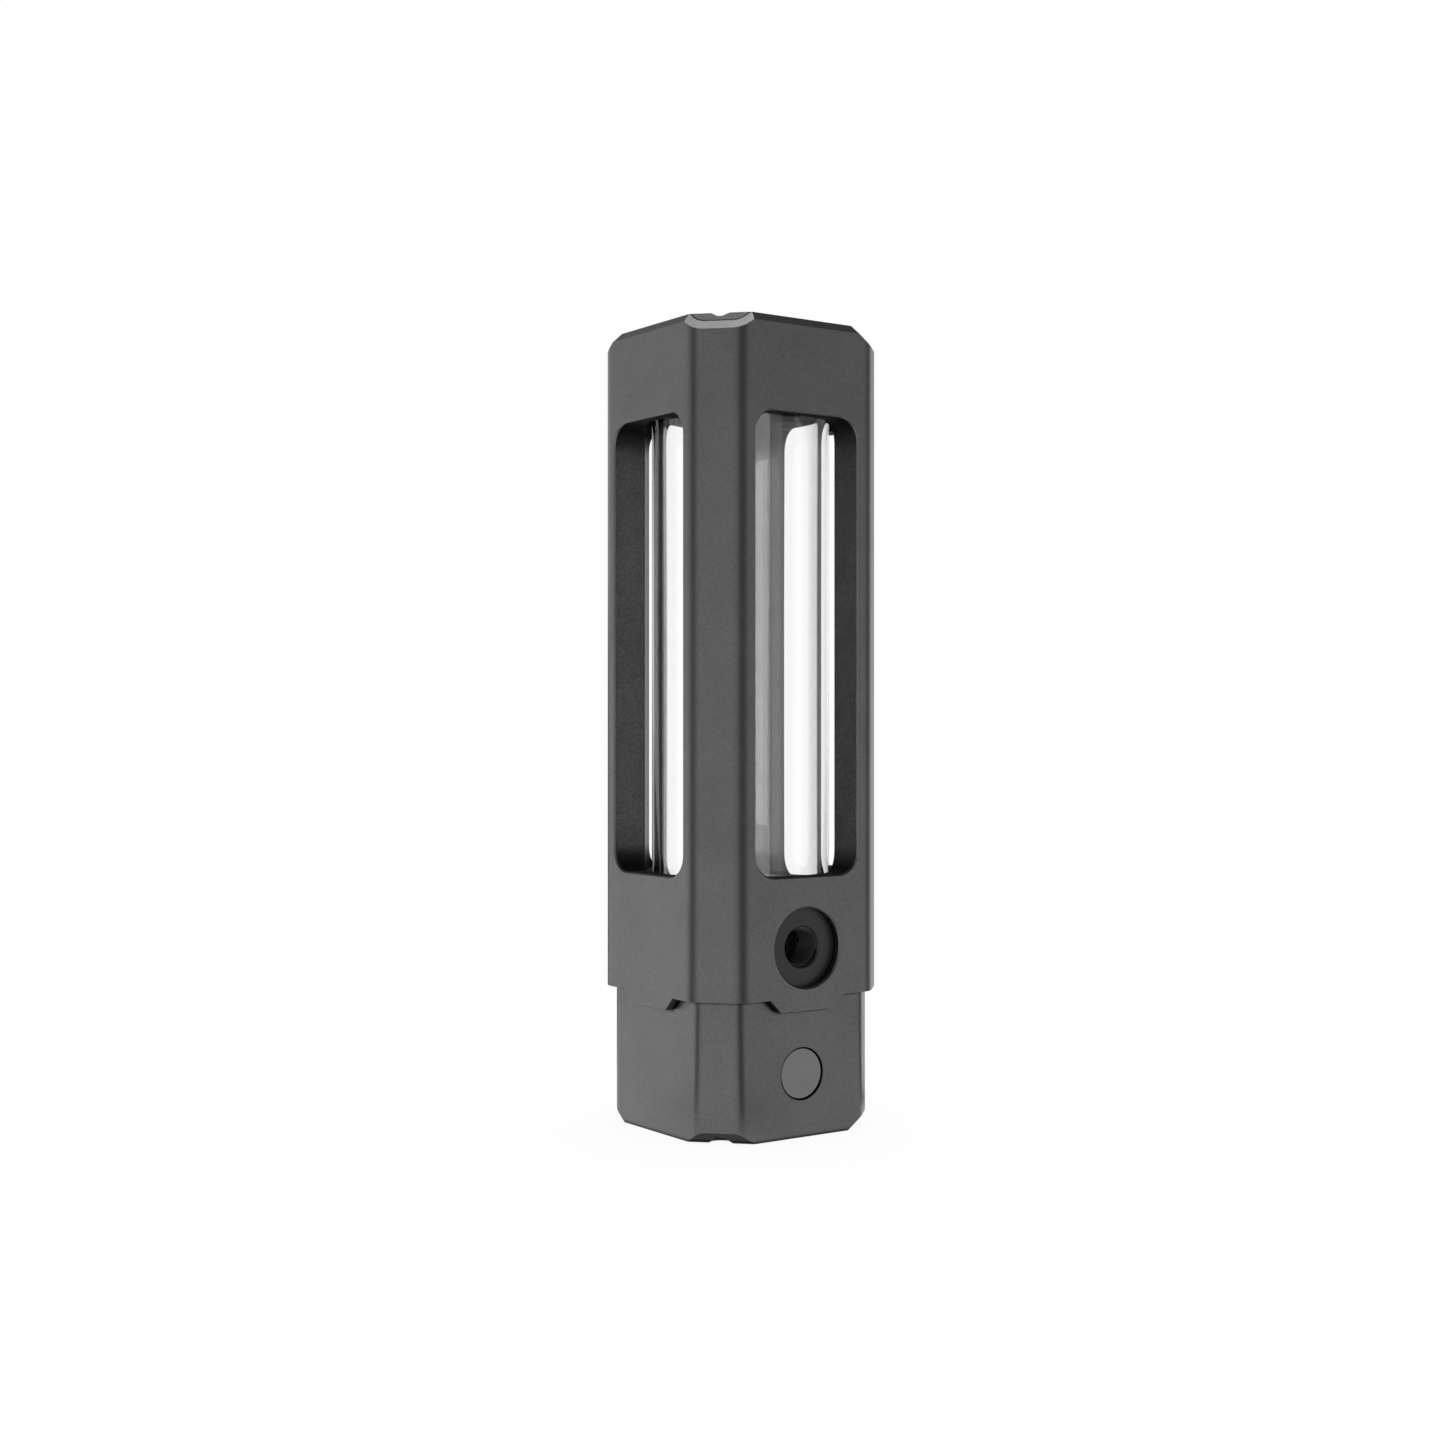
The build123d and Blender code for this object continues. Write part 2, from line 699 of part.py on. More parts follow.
def fill_plug():
    plug_low = plug_seat - plug_length
    plug = rod(port_radius - plug_clear, plug_low, plug_seat + spare)
    plug = chamfer(plug.edges().sort_by(Axis.Z)[:1], plug_edge)
    head = rod(plug_head_radius, plug_seat, plug_seat + plug_head_height)
    head = chamfer(head.edges().sort_by(Axis.Z)[-1:], plug_edge)
    plug += head
    groove_high = cap_high + plug_seal_height + plug_groove_gap
    outer = plug_seal_outer + plug_groove_gap
    plug -= ring(outer, plug_seal_inner - plug_groove_gap, plug_seat - spare, groove_high)
    socket_low = plug_seat + plug_head_height - plug_socket_depth
    plug -= hexagon(plug_socket, socket_low, plug_seat + plug_head_height + spare)
    return Pos(top_port_spacing, 0, 0) * plug


def fill_plug_seal():
    seal = ring(plug_seal_outer, plug_seal_inner, cap_high, cap_high + plug_seal_height)
    return Pos(top_port_spacing, 0, 0) * seal


pieces = {
    "armour_sleeve": armour_sleeve,
    "top_plate": top_plate,
    "top_cap": top_cap,
    "tube_seal_upper": lambda: tube_seal(tube_high - seal_offset - seal_height),
    "glass_tube": glass_tube,
    "tube_seal_lower": lambda: tube_seal(tube_low + seal_offset),
    "pump_top": pump_top,
    "lower_cover": lower_cover,
    "badge_disc": badge_disc,
    "top_screws": top_screws,
    "base_screws": base_screws,
    "pump_seal": pump_seal,
    "motor_housing": motor_housing,
    "separator_can": separator_can,
    "bearing_post": bearing_post,
    "bearing_ball": bearing_ball,
    "stator_core": stator_core,
    "stator_coils": stator_coils,
    "circuit_board": circuit_board,
    "board_components": board_components,
    "rear_cover": rear_cover,
    "cable_gland": cable_gland,
    "impeller": impeller,
    "rotor_magnet": rotor_magnet,
    "bearing_cup": bearing_cup,
    "speed_dial": speed_dial,
    "fill_plug": fill_plug,
    "fill_plug_seal": fill_plug_seal,
}

os.makedirs("parts", exist_ok=True)
for name, make in pieces.items():
    export_step(make(), f"parts/{name}.step")
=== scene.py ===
import json
from math import cos, pi, radians, sin, sqrt

import bmesh
import bpy
from mathutils import Matrix, Vector


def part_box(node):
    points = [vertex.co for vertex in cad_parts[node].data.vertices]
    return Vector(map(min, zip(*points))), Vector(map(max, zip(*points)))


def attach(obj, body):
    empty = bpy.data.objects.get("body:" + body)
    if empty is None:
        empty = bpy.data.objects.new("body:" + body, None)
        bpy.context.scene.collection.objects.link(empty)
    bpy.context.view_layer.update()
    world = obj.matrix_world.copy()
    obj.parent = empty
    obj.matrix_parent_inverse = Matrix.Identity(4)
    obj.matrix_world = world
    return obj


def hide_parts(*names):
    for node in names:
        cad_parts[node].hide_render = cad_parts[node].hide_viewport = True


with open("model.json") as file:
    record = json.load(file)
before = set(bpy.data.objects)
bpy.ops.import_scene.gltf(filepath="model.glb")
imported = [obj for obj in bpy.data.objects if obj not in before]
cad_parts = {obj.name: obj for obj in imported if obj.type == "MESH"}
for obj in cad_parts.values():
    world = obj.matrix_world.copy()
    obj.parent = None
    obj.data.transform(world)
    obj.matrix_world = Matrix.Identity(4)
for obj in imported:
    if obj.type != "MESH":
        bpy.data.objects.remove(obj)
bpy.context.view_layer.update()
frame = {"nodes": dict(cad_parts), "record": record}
scene = bpy.context.scene

# Coolant pump with a glass reservoir in an aluminium armour sleeve.
# Metres, in the frame's own axes: +Z up, the side port faces -Y.

mm = 0.001

# G1/4 ports
port_radius = 6.58 * mm          # thread's major radius
port_pitch = 1.337 * mm
port_thread_depth = 0.8 * mm
port_mouth = 0.6 * mm            # chamfer before the thread starts
side_port_rise = 13.8 * mm       # axis above the lower cover
side_port_depth = 12.0 * mm
upper_port_depth = 10.2 * mm

# Cap screws, M3
head_radius = 2.75 * mm
head_height = 3.0 * mm
shank_radius = 1.5 * mm
screw_pitch = 0.5 * mm
screw_socket = 2.5 * mm          # across the flats
screw_socket_depth = 1.6 * mm

seal_rounding = 0.45             # of a seal's height

# Places that the frame gives


def low_of(node):
    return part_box(node)[0]


def high_of(node):
    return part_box(node)[1]


def middle_of(node):
    return (low_of(node) + high_of(node)) / 2


def heights_of(node):
    return low_of(node).z, high_of(node).z


def radius_of(node):
    return (high_of(node).x - low_of(node).x) / 2


cover_top = high_of("lower_cover").z
side_port_height = cover_top + side_port_rise
cap_top = high_of("top_cap").z
upper_port_offset = middle_of("fill_plug").x
rear_face = low_of("rear_cover").z
dial_centre = middle_of("speed_dial")


# Node trees

FLOAT = "NodeSocketFloat"
VECTOR = "NodeSocketVector"
COUNT = "NodeSocketInt"
SHAPE = "NodeSocketGeometry"
PAINT = "NodeSocketMaterial"


def add(tree, kind, inputs=None, **settings):
    """Adds a node; inputs set its sockets to values or link them to other nodes' outputs."""
    node = tree.nodes.new(kind)
    for name, value in settings.items():
        setattr(node, name, value)
    for socket, value in (inputs or {}).items():
        if isinstance(value, bpy.types.NodeSocket):
            tree.links.new(value, node.inputs[socket])
        else:
            node.inputs[socket].default_value = value
    return node


def first(tree, kind, inputs=None, **settings):
    """First output of a new node."""
    return add(tree, kind, inputs, **settings).outputs[0]


def calc(tree, operation, *values, clamp=False):
    """Output of a math node."""
    inputs = dict(enumerate(values))
    return first(tree, "ShaderNodeMath", inputs, operation=operation, use_clamp=clamp)


def product(tree, value, *others):
    for other in others:
        value = calc(tree, "MULTIPLY", value, other)
    return value


def mapped(tree, value, start, end, low=0.0, high=1.0, **settings):
    """A value carried from one range to another."""
    inputs = {"Value": value, "From Min": start, "From Max": end, "To Min": low, "To Max": high}
    return first(tree, "ShaderNodeMapRange", inputs, **settings)


def noise(tree, given, size, detail, place=None):
    """Noise inside a group, its lumps as large as the size that the group is given."""
    scale = calc(tree, "DIVIDE", 1.0, given[size])
    inputs = {"Vector": place or given["Vector"], "Scale": scale, "Detail": detail}
    return first(tree, "ShaderNodeTexNoise", inputs)


def vector(tree, **axes):
    """Vector with some axes given and the others zero."""
    return first(tree, "ShaderNodeCombineXYZ", axes)


def axes_of(tree, place):
    return add(tree, "ShaderNodeSeparateXYZ", {0: place}).outputs


def squared_reach(tree, axes):
    """Square of the distance from the upright axis."""
    return calc(tree, "ADD", *[calc(tree, "POWER", axes[axis], 2.0) for axis in "XY"])


def dot(tree, one, other):
    return add(tree, "ShaderNodeVectorMath", {0: one, 1: other}, operation="DOT_PRODUCT").outputs["Value"]


def group(kind, name, inputs, outputs):
    """Node group with named sockets: its tree, its given values and its results."""
    tree = bpy.data.node_groups.new(name, kind)
    for label, (socket, value) in inputs.items():
        made = tree.interface.new_socket(label, in_out="INPUT", socket_type=socket)
        if value is not None:
            made.default_value = value
    for label, socket in outputs.items():
        tree.interface.new_socket(label, in_out="OUTPUT", socket_type=socket)
    return tree, tree.nodes.new("NodeGroupInput").outputs, tree.nodes.new("NodeGroupOutput").inputs


def give(tree, result, **outputs):
    """Links a group's results and hands back its tree."""
    for label, output in outputs.items():
        tree.links.new(output, result[label])
    return tree


# Geometry node trees for what repeats

def shape_group(name, inputs):
    """Geometry group that also takes the material of what it makes."""
    return group("GeometryNodeTree", name, {**inputs, "Material": (PAINT, None)}, {"Geometry": SHAPE})


def finished(tree, shape, given, result):
    """Ends a tree: makes copies real and gives them their material."""
    real = first(tree, "GeometryNodeRealizeInstances", {"Geometry": shape})
    painted = first(tree, "GeometryNodeSetMaterial", {"Geometry": real, "Material": given["Material"]})
    return give(tree, result, Geometry=painted)


def copies_tree():
    """Copies of the shape on a circle about the upright axis, each turned to its own place."""
    tree, given, result = shape_group("copies_around", {
        "Geometry": (SHAPE, None),
        "Count": (COUNT, 4),
        "Distance": (FLOAT, 0.0),
        "First Angle": (FLOAT, 0.0),
    })
    step = calc(tree, "DIVIDE", 2 * pi, given["Count"])
    index = first(tree, "GeometryNodeInputIndex")
    angle = calc(tree, "MULTIPLY_ADD", index, step, given["First Angle"])
    across_x = product(tree, calc(tree, "COSINE", angle), given["Distance"])
    across_y = product(tree, calc(tree, "SINE", angle), given["Distance"])
    place = vector(tree, X=across_x, Y=across_y)
    points = first(tree, "GeometryNodePoints", {"Count": given["Count"], "Position": place})
    turn = first(tree, "FunctionNodeEulerToRotation", {"Euler": vector(tree, Z=angle)})
    spread = {"Points": points, "Instance": given["Geometry"], "Rotation": turn}
    return finished(tree, first(tree, "GeometryNodeInstanceOnPoints", spread), given, result)


def thread_tree():
    """Helical ridge: a trapezoid swept up a spiral about the upright axis."""
    tree, given, result = shape_group("thread_ridge", {
        "Radius": (FLOAT, 5 * mm),
        "Pitch": (FLOAT, 1 * mm),
        "Turns": (FLOAT, 5.0),
        "Start Height": (FLOAT, 0.0),
        "Depth": (FLOAT, 0.5 * mm),
        "Inner Width": (FLOAT, 0.3 * mm),
        "Outer Width": (FLOAT, 0.6 * mm),
        "Steps": (COUNT, 48),
    })
    path = first(tree, "GeometryNodeCurveSpiral", {
        "Resolution": given["Steps"],
        "Rotations": given["Turns"],
        "Start Radius": given["Radius"],
        "End Radius": given["Radius"],
        "Height": product(tree, given["Pitch"], given["Turns"]),
    })
    path = first(tree, "GeometryNodeSetCurveNormal", {"Curve": path}, mode="Z_UP")
    section = first(tree, "GeometryNodeCurvePrimitiveQuadrilateral", {
        "Height": given["Depth"],
        "Bottom Width": given["Inner Width"],
        "Top Width": given["Outer Width"],
        "Offset": 0.0,
    }, mode="TRAPEZOID")
    outwards = (0, 0, pi / 2)
    section = first(tree, "GeometryNodeTransform", {"Geometry": section, "Rotation": outwards})
    sweep = {"Curve": path, "Profile Curve": section, "Fill Caps": True}
    ridge = first(tree, "GeometryNodeCurveToMesh", sweep)
    lift = vector(tree, Z=given["Start Height"])
    ridge = first(tree, "GeometryNodeTransform", {"Geometry": ridge, "Translation": lift})
    return finished(tree, ridge, given, result)


def winding_tree():
    """One layer of wire: rounded rectangular turns side by side along the upright axis."""
    tree, given, result = shape_group("winding_layer", {
        "Width": (FLOAT, 6 * mm),
        "Height": (FLOAT, 8 * mm),
        "Corner": (FLOAT, 1 * mm),
        "Wire Radius": (FLOAT, 0.3 * mm),
        "Turns": (COUNT, 6),
        "Spacing": (FLOAT, 0.6 * mm),
    })
    frame_sizes = {"Width": given["Width"], "Height": given["Height"]}
    loop = first(tree, "GeometryNodeCurvePrimitiveQuadrilateral", frame_sizes, mode="RECTANGLE")
    bend = {"Curve": loop, "Count": 4, "Radius": given["Corner"]}
    loop = first(tree, "GeometryNodeFilletCurve", bend, mode="POLY")
    section = {"Resolution": 8, "Radius": given["Wire Radius"]}
    wire = first(tree, "GeometryNodeCurvePrimitiveCircle", section, mode="RADIUS")
    loop = first(tree, "GeometryNodeCurveToMesh", {"Curve": loop, "Profile Curve": wire})
    index = first(tree, "GeometryNodeInputIndex")
    place = vector(tree, Z=product(tree, index, given["Spacing"]))
    points = first(tree, "GeometryNodePoints", {"Count": given["Turns"], "Position": place})
    turns = first(tree, "GeometryNodeInstanceOnPoints", {"Points": points, "Instance": loop})
    return finished(tree, turns, given, result)


copies = copies_tree()
thread = thread_tree()
winding = winding_tree()


# Meshes

edge_angle = radians(30)         # edges sharper than this are broken
flat_angle = radians(0.5)        # triangles closer to one plane than this are joined
merge_distance = 0.002 * mm
on_axis = 1e-7


def linked(name, data):
    """Object at the origin for a mesh, a text, a lamp or a camera."""
    piece = bpy.data.objects.new(name, data)
    scene.collection.objects.link(piece)
    return piece


def smooth(piece, sharp_angle=35):
    """Smooth shading that keeps edges sharper than an angle."""
    piece.data.shade_smooth()
    piece.data.set_sharp_from_angle(angle=radians(sharp_angle))
    return piece


def plain(piece):
    """Turns an object with modifiers into a plain mesh."""
    graph = bpy.context.evaluated_depsgraph_get()
    finished = bpy.data.meshes.new_from_object(piece.evaluated_get(graph))
    finished.name = piece.name
    piece.modifiers.clear()
    piece.data = finished
    return piece


def grown(piece, tree, values):
    """Runs a geometry node tree on a piece with values for its named inputs."""
    work = piece.modifiers.new("making", "NODES")
    work.node_group = tree
    for socket in tree.interface.items_tree:
        if socket.in_out == "INPUT" and socket.name in values:
            work[socket.identifier] = values[socket.name]
    return smooth(plain(piece))


def placed(piece, matrix):
    """Moves a piece's mesh; the object stays at the origin."""
    piece.data.transform(matrix)
    return piece


def merged(name, pieces):
    """One piece from the meshes of several."""
    shell = bmesh.new()
    for piece in pieces:
        shell.from_mesh(piece.data)
        bpy.data.objects.remove(piece)
    return smooth(from_shell(name, shell))


def soft_edges(piece, width, steps=3):
    """Rounds a piece's sharp edges, where there is a width, and evens its shading."""
    if width:
        bevel = piece.modifiers.new("edges", "BEVEL")
        bevel.limit_method = "ANGLE"
        bevel.angle_limit = edge_angle
        bevel.width = width
        bevel.segments = steps
        bevel.use_clamp_overlap = False
    shading = piece.modifiers.new("shading", "WEIGHTED_NORMAL")
    shading.keep_sharp = True
    shading.weight = 80
    return plain(piece)


def from_shell(name, shell):
    """Object with a shell's mesh."""
    mesh = bpy.data.meshes.new(name)
    shell.to_mesh(mesh)
    shell.free()
    return linked(name, mesh)


def machined(node, width=0.0, sharp_angle=35):
    """Copy of a node's shape, its triangles merged; with a width they are joined and the edges broken."""
    shell = bmesh.new()
    shell.from_mesh(frame["nodes"][node].data)
    bmesh.ops.remove_doubles(shell, verts=shell.verts, dist=merge_distance)
    if width:
        bmesh.ops.dissolve_limit(shell, angle_limit=flat_angle, verts=shell.verts, edges=shell.edges)
    bmesh.ops.recalc_face_normals(shell, faces=shell.faces)
    piece = from_shell(node + "_finished", shell)
    own_normals = piece.data.attributes.get("custom_normal")
    if own_normals:
        piece.data.attributes.remove(own_normals)
    return soft_edges(smooth(piece, sharp_angle), width)


def rounded(corners, rounding, steps=4):
    """Closed profile with rounded corners, from (radius, height) and optional own rounding and flats."""
    points = []
    for place, corner in enumerate(corners):
        here = Vector(corner[:2])
        before = Vector(corners[place - 1][:2]) - here
        after = Vector(corners[(place + 1) % len(corners)][:2]) - here
        size = corner[2] if len(corner) > 2 else rounding
        flats = corner[3] if len(corner) > 3 else 0
        size = min(size, before.length / 2.1, after.length / 2.1)
        if here.x < on_axis or size <= 0:
            points.append((here.x, here.y, flats))
            continue
        start = here + before.normalized() * size
        end = here + after.normalized() * size
        for step in range(steps + 1):
            share = step / steps
            point = start * (1 - share) ** 2 + here * 2 * share * (1 - share) + end * share ** 2
            points.append((point.x, point.y, flats))
    return points


def turned(name, corners, rounding=0.0, steps=96):
    """Closed solid turned about the upright axis; a corner's flats make its ring a polygon."""
    shell = bmesh.new()
    rings = []
    for radius, height, flats in rounded(corners, rounding):
        if radius < on_axis:
            rings.append([shell.verts.new((0, 0, height))])
            continue
        ring = []
        for step in range(steps):
            angle = 2 * pi * step / steps
            reach = radius
            if flats:
                flat = 2 * pi / flats
                reach = radius / cos((angle + flat / 2) % flat - flat / 2)
            ring.append(shell.verts.new((reach * cos(angle), reach * sin(angle), height)))
        rings.append(ring)
    for ring, after in zip(rings, rings[1:] + rings[:1]):
        for step in range(steps):
            around = [ring[step % len(ring)], ring[(step + 1) % len(ring)],
                      after[(step + 1) % len(after)], after[step % len(after)]]
            around = list(dict.fromkeys(around))
            if len(around) > 2:
                shell.faces.new(around)
    bmesh.ops.recalc_face_normals(shell, faces=shell.faces)
    return smooth(from_shell(name, shell))


def upright_at(x, y, z):
    return Matrix.Translation((x, y, z))


def toward_port(height):
    """Turns an upright shape to point at the port's face."""
    return upright_at(0, 0, height) @ Matrix.Rotation(pi / 2, 4, "X")


def toward_back(height):
    return upright_at(0, 0, height) @ Matrix.Rotation(-pi / 2, 4, "X")


def ridge(name, middle, pitch, depth, start, length, crest_inside, paint, steps=48):
    """Thread's ridge at a middle radius, over a length from a start height."""
    crest = 0.15 * pitch
    root = 0.85 * pitch
    return grown(linked(name, bpy.data.meshes.new(name)), thread, {
        "Radius": middle,
        "Pitch": pitch,
        "Turns": length / pitch,
        "Start Height": start,
        "Depth": depth,
        "Inner Width": crest if crest_inside else root,
        "Outer Width": root if crest_inside else crest,
        "Steps": steps,
        "Material": paint,
    })


# Shader node groups for effects that several finishes share

def effect_group(name, inputs, outputs=("Height", "Tone")):
    """Shader group that takes sizes and amounts, and a vector where its value is None."""
    inputs = {label: (VECTOR if value is None else FLOAT, value) for label, value in inputs.items()}
    return group("ShaderNodeTree", name, inputs, dict.fromkeys(outputs, FLOAT))


def grain_group():
    """Fine pits, as of bead blasting, over a broad and faint mottle."""
    noise_range = (0.3, 0.7)
    tree, given, result = effect_group("fine_grain", {
        "Vector": None, "Grain Size": 0.5 * mm, "Mottle Size": 15 * mm, "Mottle Share": 0.4})
    pits = noise(tree, given, "Grain Size", detail=2.0)
    mottle = noise(tree, given, "Mottle Size", detail=3.0)
    mixed = first(tree, "ShaderNodeMix", {0: given["Mottle Share"], 2: pits, 3: mottle})
    return give(tree, result, Height=pits, Tone=mapped(tree, mixed, *noise_range))


def wear_group():
    """Mask of edges that are rubbed through in broken patches."""
    tree, given, result = effect_group("edge_wear", {
        "Vector": None, "Width": 0.4 * mm, "Patch Size": 3 * mm, "Amount": 0.5}, ["Mask"])
    contrast = 8.0
    round_off = first(tree, "ShaderNodeBevel", {"Radius": given["Width"]}, samples=4)
    alike = dot(tree, round_off, add(tree, "ShaderNodeNewGeometry").outputs["Normal"])
    edge = calc(tree, "MULTIPLY", calc(tree, "SUBTRACT", 1.0, alike), contrast, clamp=True)
    patches = noise(tree, given, "Patch Size", detail=4.0)
    broken = mapped(tree, patches, 0.4, 0.62)
    return give(tree, result, Mask=product(tree, edge, broken, given["Amount"]))


def dust_group():
    """Mask of dust on what faces up."""
    tree, given, result = effect_group("settled_dust", {
        "Vector": None, "Patch Size": 5 * mm, "Amount": 0.1}, ["Mask"])
    facing = add(tree, "ShaderNodeNewGeometry").outputs["Normal"]
    level = mapped(tree, axes_of(tree, facing)["Z"], 0.75, 1.0)
    patches = mapped(tree, noise(tree, given, "Patch Size", detail=6.0), 0.35, 0.7)
    return give(tree, result, Mask=product(tree, level, patches, given["Amount"]))


def turning_group():
    """Rings left by a lathe or a cutter about the pattern's own axis."""
    tree, given, result = effect_group("turning_marks", {
        "Vector": None, "Pitch": 0.2 * mm, "Chatter Size": 2 * mm})
    waver = 4.0
    reach = calc(tree, "SQRT", squared_reach(tree, axes_of(tree, given["Vector"])))
    chatter = noise(tree, given, "Chatter Size", detail=2.0)
    phase = product(tree, calc(tree, "DIVIDE", reach, given["Pitch"]), 2 * pi)
    wave = calc(tree, "SINE", calc(tree, "MULTIPLY_ADD", chatter, waver, phase))
    height = calc(tree, "MULTIPLY_ADD", wave, 0.5, 0.5)
    return give(tree, result, Height=height, Tone=product(tree, height, chatter))


def moulded_group():
    """Spark-eroded texture of an injection mould."""
    tree, given, result = effect_group("moulded_texture", {"Vector": None, "Cell Size": 0.35 * mm})
    flow_scale = 0.04
    cell_share = 0.4
    scale = calc(tree, "DIVIDE", 1.0, given["Cell Size"])
    cells = {"Vector": given["Vector"], "Scale": scale}
    cells = add(tree, "ShaderNodeTexVoronoi", cells, feature="SMOOTH_F1").outputs["Distance"]
    flow = {"Vector": given["Vector"], "Scale": product(tree, scale, flow_scale), "Detail": 2.0}
    flow = product(tree, first(tree, "ShaderNodeTexNoise", flow), 1 - cell_share)
    return give(tree, result, Height=cells, Tone=calc(tree, "MULTIPLY_ADD", cells, cell_share, flow))


def streak_group():
    """Fine lines drawn along the upright axis of the pattern."""
    tree, given, result = effect_group("drawn_lines", {
        "Vector": None, "Spacing": 0.3 * mm, "Stretch": 0.03}, ["Height"])
    squeeze = vector(tree, X=1.0, Y=1.0, Z=given["Stretch"])
    along = first(tree, "ShaderNodeVectorMath", {0: given["Vector"], 1: squeeze}, operation="MULTIPLY")
    return give(tree, result, Height=noise(tree, given, "Spacing", detail=3.0, place=along))


def painted_joint_shade_group():
    """Mask of painted shade in narrow joints and inner corners, where little light comes in, taken from
    ambient occlusion.
    """
    tree, given, result = effect_group("painted_joint_shade", {"Reach": 1 * mm, "Amount": 0.8}, ["Mask"])
    clear = 0.97
    full = 0.66
    share = add(tree, "ShaderNodeAmbientOcclusion", {"Distance": given["Reach"]}, samples=6).outputs["AO"]
    return give(tree, result, Mask=mapped(tree, share, clear, full, high=given["Amount"]))


fine_grain = grain_group()
painted_joint_shade = painted_joint_shade_group()
edge_wear = wear_group()
settled_dust = dust_group()
turning_marks = turning_group()
moulded_texture = moulded_group()
drawn_lines = streak_group()


# Finishes

def grain(size, mottle, share=0.4):
    """Grain with its sizes in millimetres."""
    return fine_grain, {"Grain Size": size * mm, "Mottle Size": mottle * mm, "Mottle Share": share}


def rings(pitch, chatter):
    """Turned rings with their sizes in millimetres."""
    return turning_marks, {"Pitch": pitch * mm, "Chatter Size": chatter * mm}


def texture(cell):
    """Moulded texture with its cells in millimetres."""
    return moulded_texture, {"Cell Size": cell * mm}


class Finish:
    """Material that is built up in layers on its shader."""

    def __init__(self, name, colour, roughness, metallic=0.0, centre=(0, 0, 0), turn=(0, 0, 0)):
        self.material = bpy.data.materials.new(name)
        self.material.use_nodes = True
        self.tree = self.material.node_tree
        self.shader = self.tree.nodes["Principled BSDF"].inputs
        self.base = (*colour, 1)
        self.normal = None
        self.constants({"Base Color": self.base, "Roughness": roughness, "Metallic": metallic})
        place = add(self.tree, "ShaderNodeTexCoord").outputs["Object"]
        centred = {"Vector": place, "Location": centre, "Rotation": turn}
        self.place = first(self.tree, "ShaderNodeMapping", centred, vector_type="TEXTURE")

    def constants(self, values):
        for name, value in values.items():
            self.shader[name].default_value = value

    def effect(self, tree, values):
        """Results of an effect's group, placed on this material's own coordinates."""
        node = add(self.tree, "ShaderNodeGroup", node_tree=tree)
        for name, value in values.items():
            node.inputs[name].default_value = value
        if "Vector" in node.inputs:
            self.tree.links.new(self.place, node.inputs["Vector"])
        return node.outputs

    def cover(self, mask, colour):
        """Lays a colour over what is below, as far as the mask says."""
        layers = {0: mask, 6: self.base, 7: (*colour, 1)}
        self.base = add(self.tree, "ShaderNodeMix", layers, data_type="RGBA").outputs[2]
        self.tree.links.new(self.base, self.shader["Base Color"])

    def gloss(self, tone, low, high):
        """Roughness that follows a tone."""
        self.tree.links.new(mapped(self.tree, tone, 0.0, 1.0, low, high), self.shader["Roughness"])

    def relief(self, height, depth):
        """Small heights over those that are there."""
        inputs = {"Height": height, "Distance": depth}
        if self.normal:
            inputs["Normal"] = self.normal
        self.normal = first(self.tree, "ShaderNodeBump", inputs)
        self.tree.links.new(self.normal, self.shader["Normal"])

    def marks(self, effect, light, rough, depth=0.0):
        """Lets an effect show in the colour, the roughness and, with a depth in millimetres, the relief."""
        seen = self.effect(*effect)
        self.cover(seen["Tone"], light)
        self.gloss(seen["Tone"], *rough)
        if depth:
            self.relief(seen["Height"], depth * mm)
        return self

    def worn(self, width, patch, amount, colour):
        """Rubs the edges through in patches, with the sizes in millimetres."""
        sizes = {"Width": width * mm, "Patch Size": patch * mm, "Amount": amount}
        self.cover(self.effect(edge_wear, sizes)["Mask"], colour)
        return self


def marked(name, marks, dark, light, rough, depth=0.0, metallic=0.0, centre=(0, 0, 0), coat=0.0, worn=None):
    """Finish with one layer of marks between a dark and a light colour, and worn edges where given."""
    made = Finish(name, dark, rough[1], metallic, centre)
    made.constants({"Coat Weight": coat})
    made.marks(marks, light, rough, depth)
    return made.worn(**worn) if worn else made


def painted_inner_shade(tree, place):
    """Mask of the sleeve's bore and the inner walls of its windows, where shade is painted."""
    sill = 84.5 * mm
    head = 258 * mm
    outer_face = 37.0 * mm
    reach = 43.0 * mm
    axes = axes_of(tree, place)
    across = calc(tree, "MAXIMUM", *[calc(tree, "ABSOLUTE", axes[axis]) for axis in "XY"])
    return product(
        tree,
        calc(tree, "LESS_THAN", across, outer_face),
        calc(tree, "LESS_THAN", squared_reach(tree, axes), reach ** 2),
        calc(tree, "GREATER_THAN", axes["Z"], sill),
        calc(tree, "LESS_THAN", axes["Z"], head),
    )


def window_ends(tree, place):
    """Mask of the heights at which the windows end, above and below, where shade under the heads and over
    the sills is painted.
    """
    middle = 159.5 * mm
    straight = 66 * mm
    full = 73 * mm
    away = calc(tree, "ABSOLUTE", calc(tree, "SUBTRACT", axes_of(tree, place)["Z"], middle))
    return mapped(tree, away, straight, full)


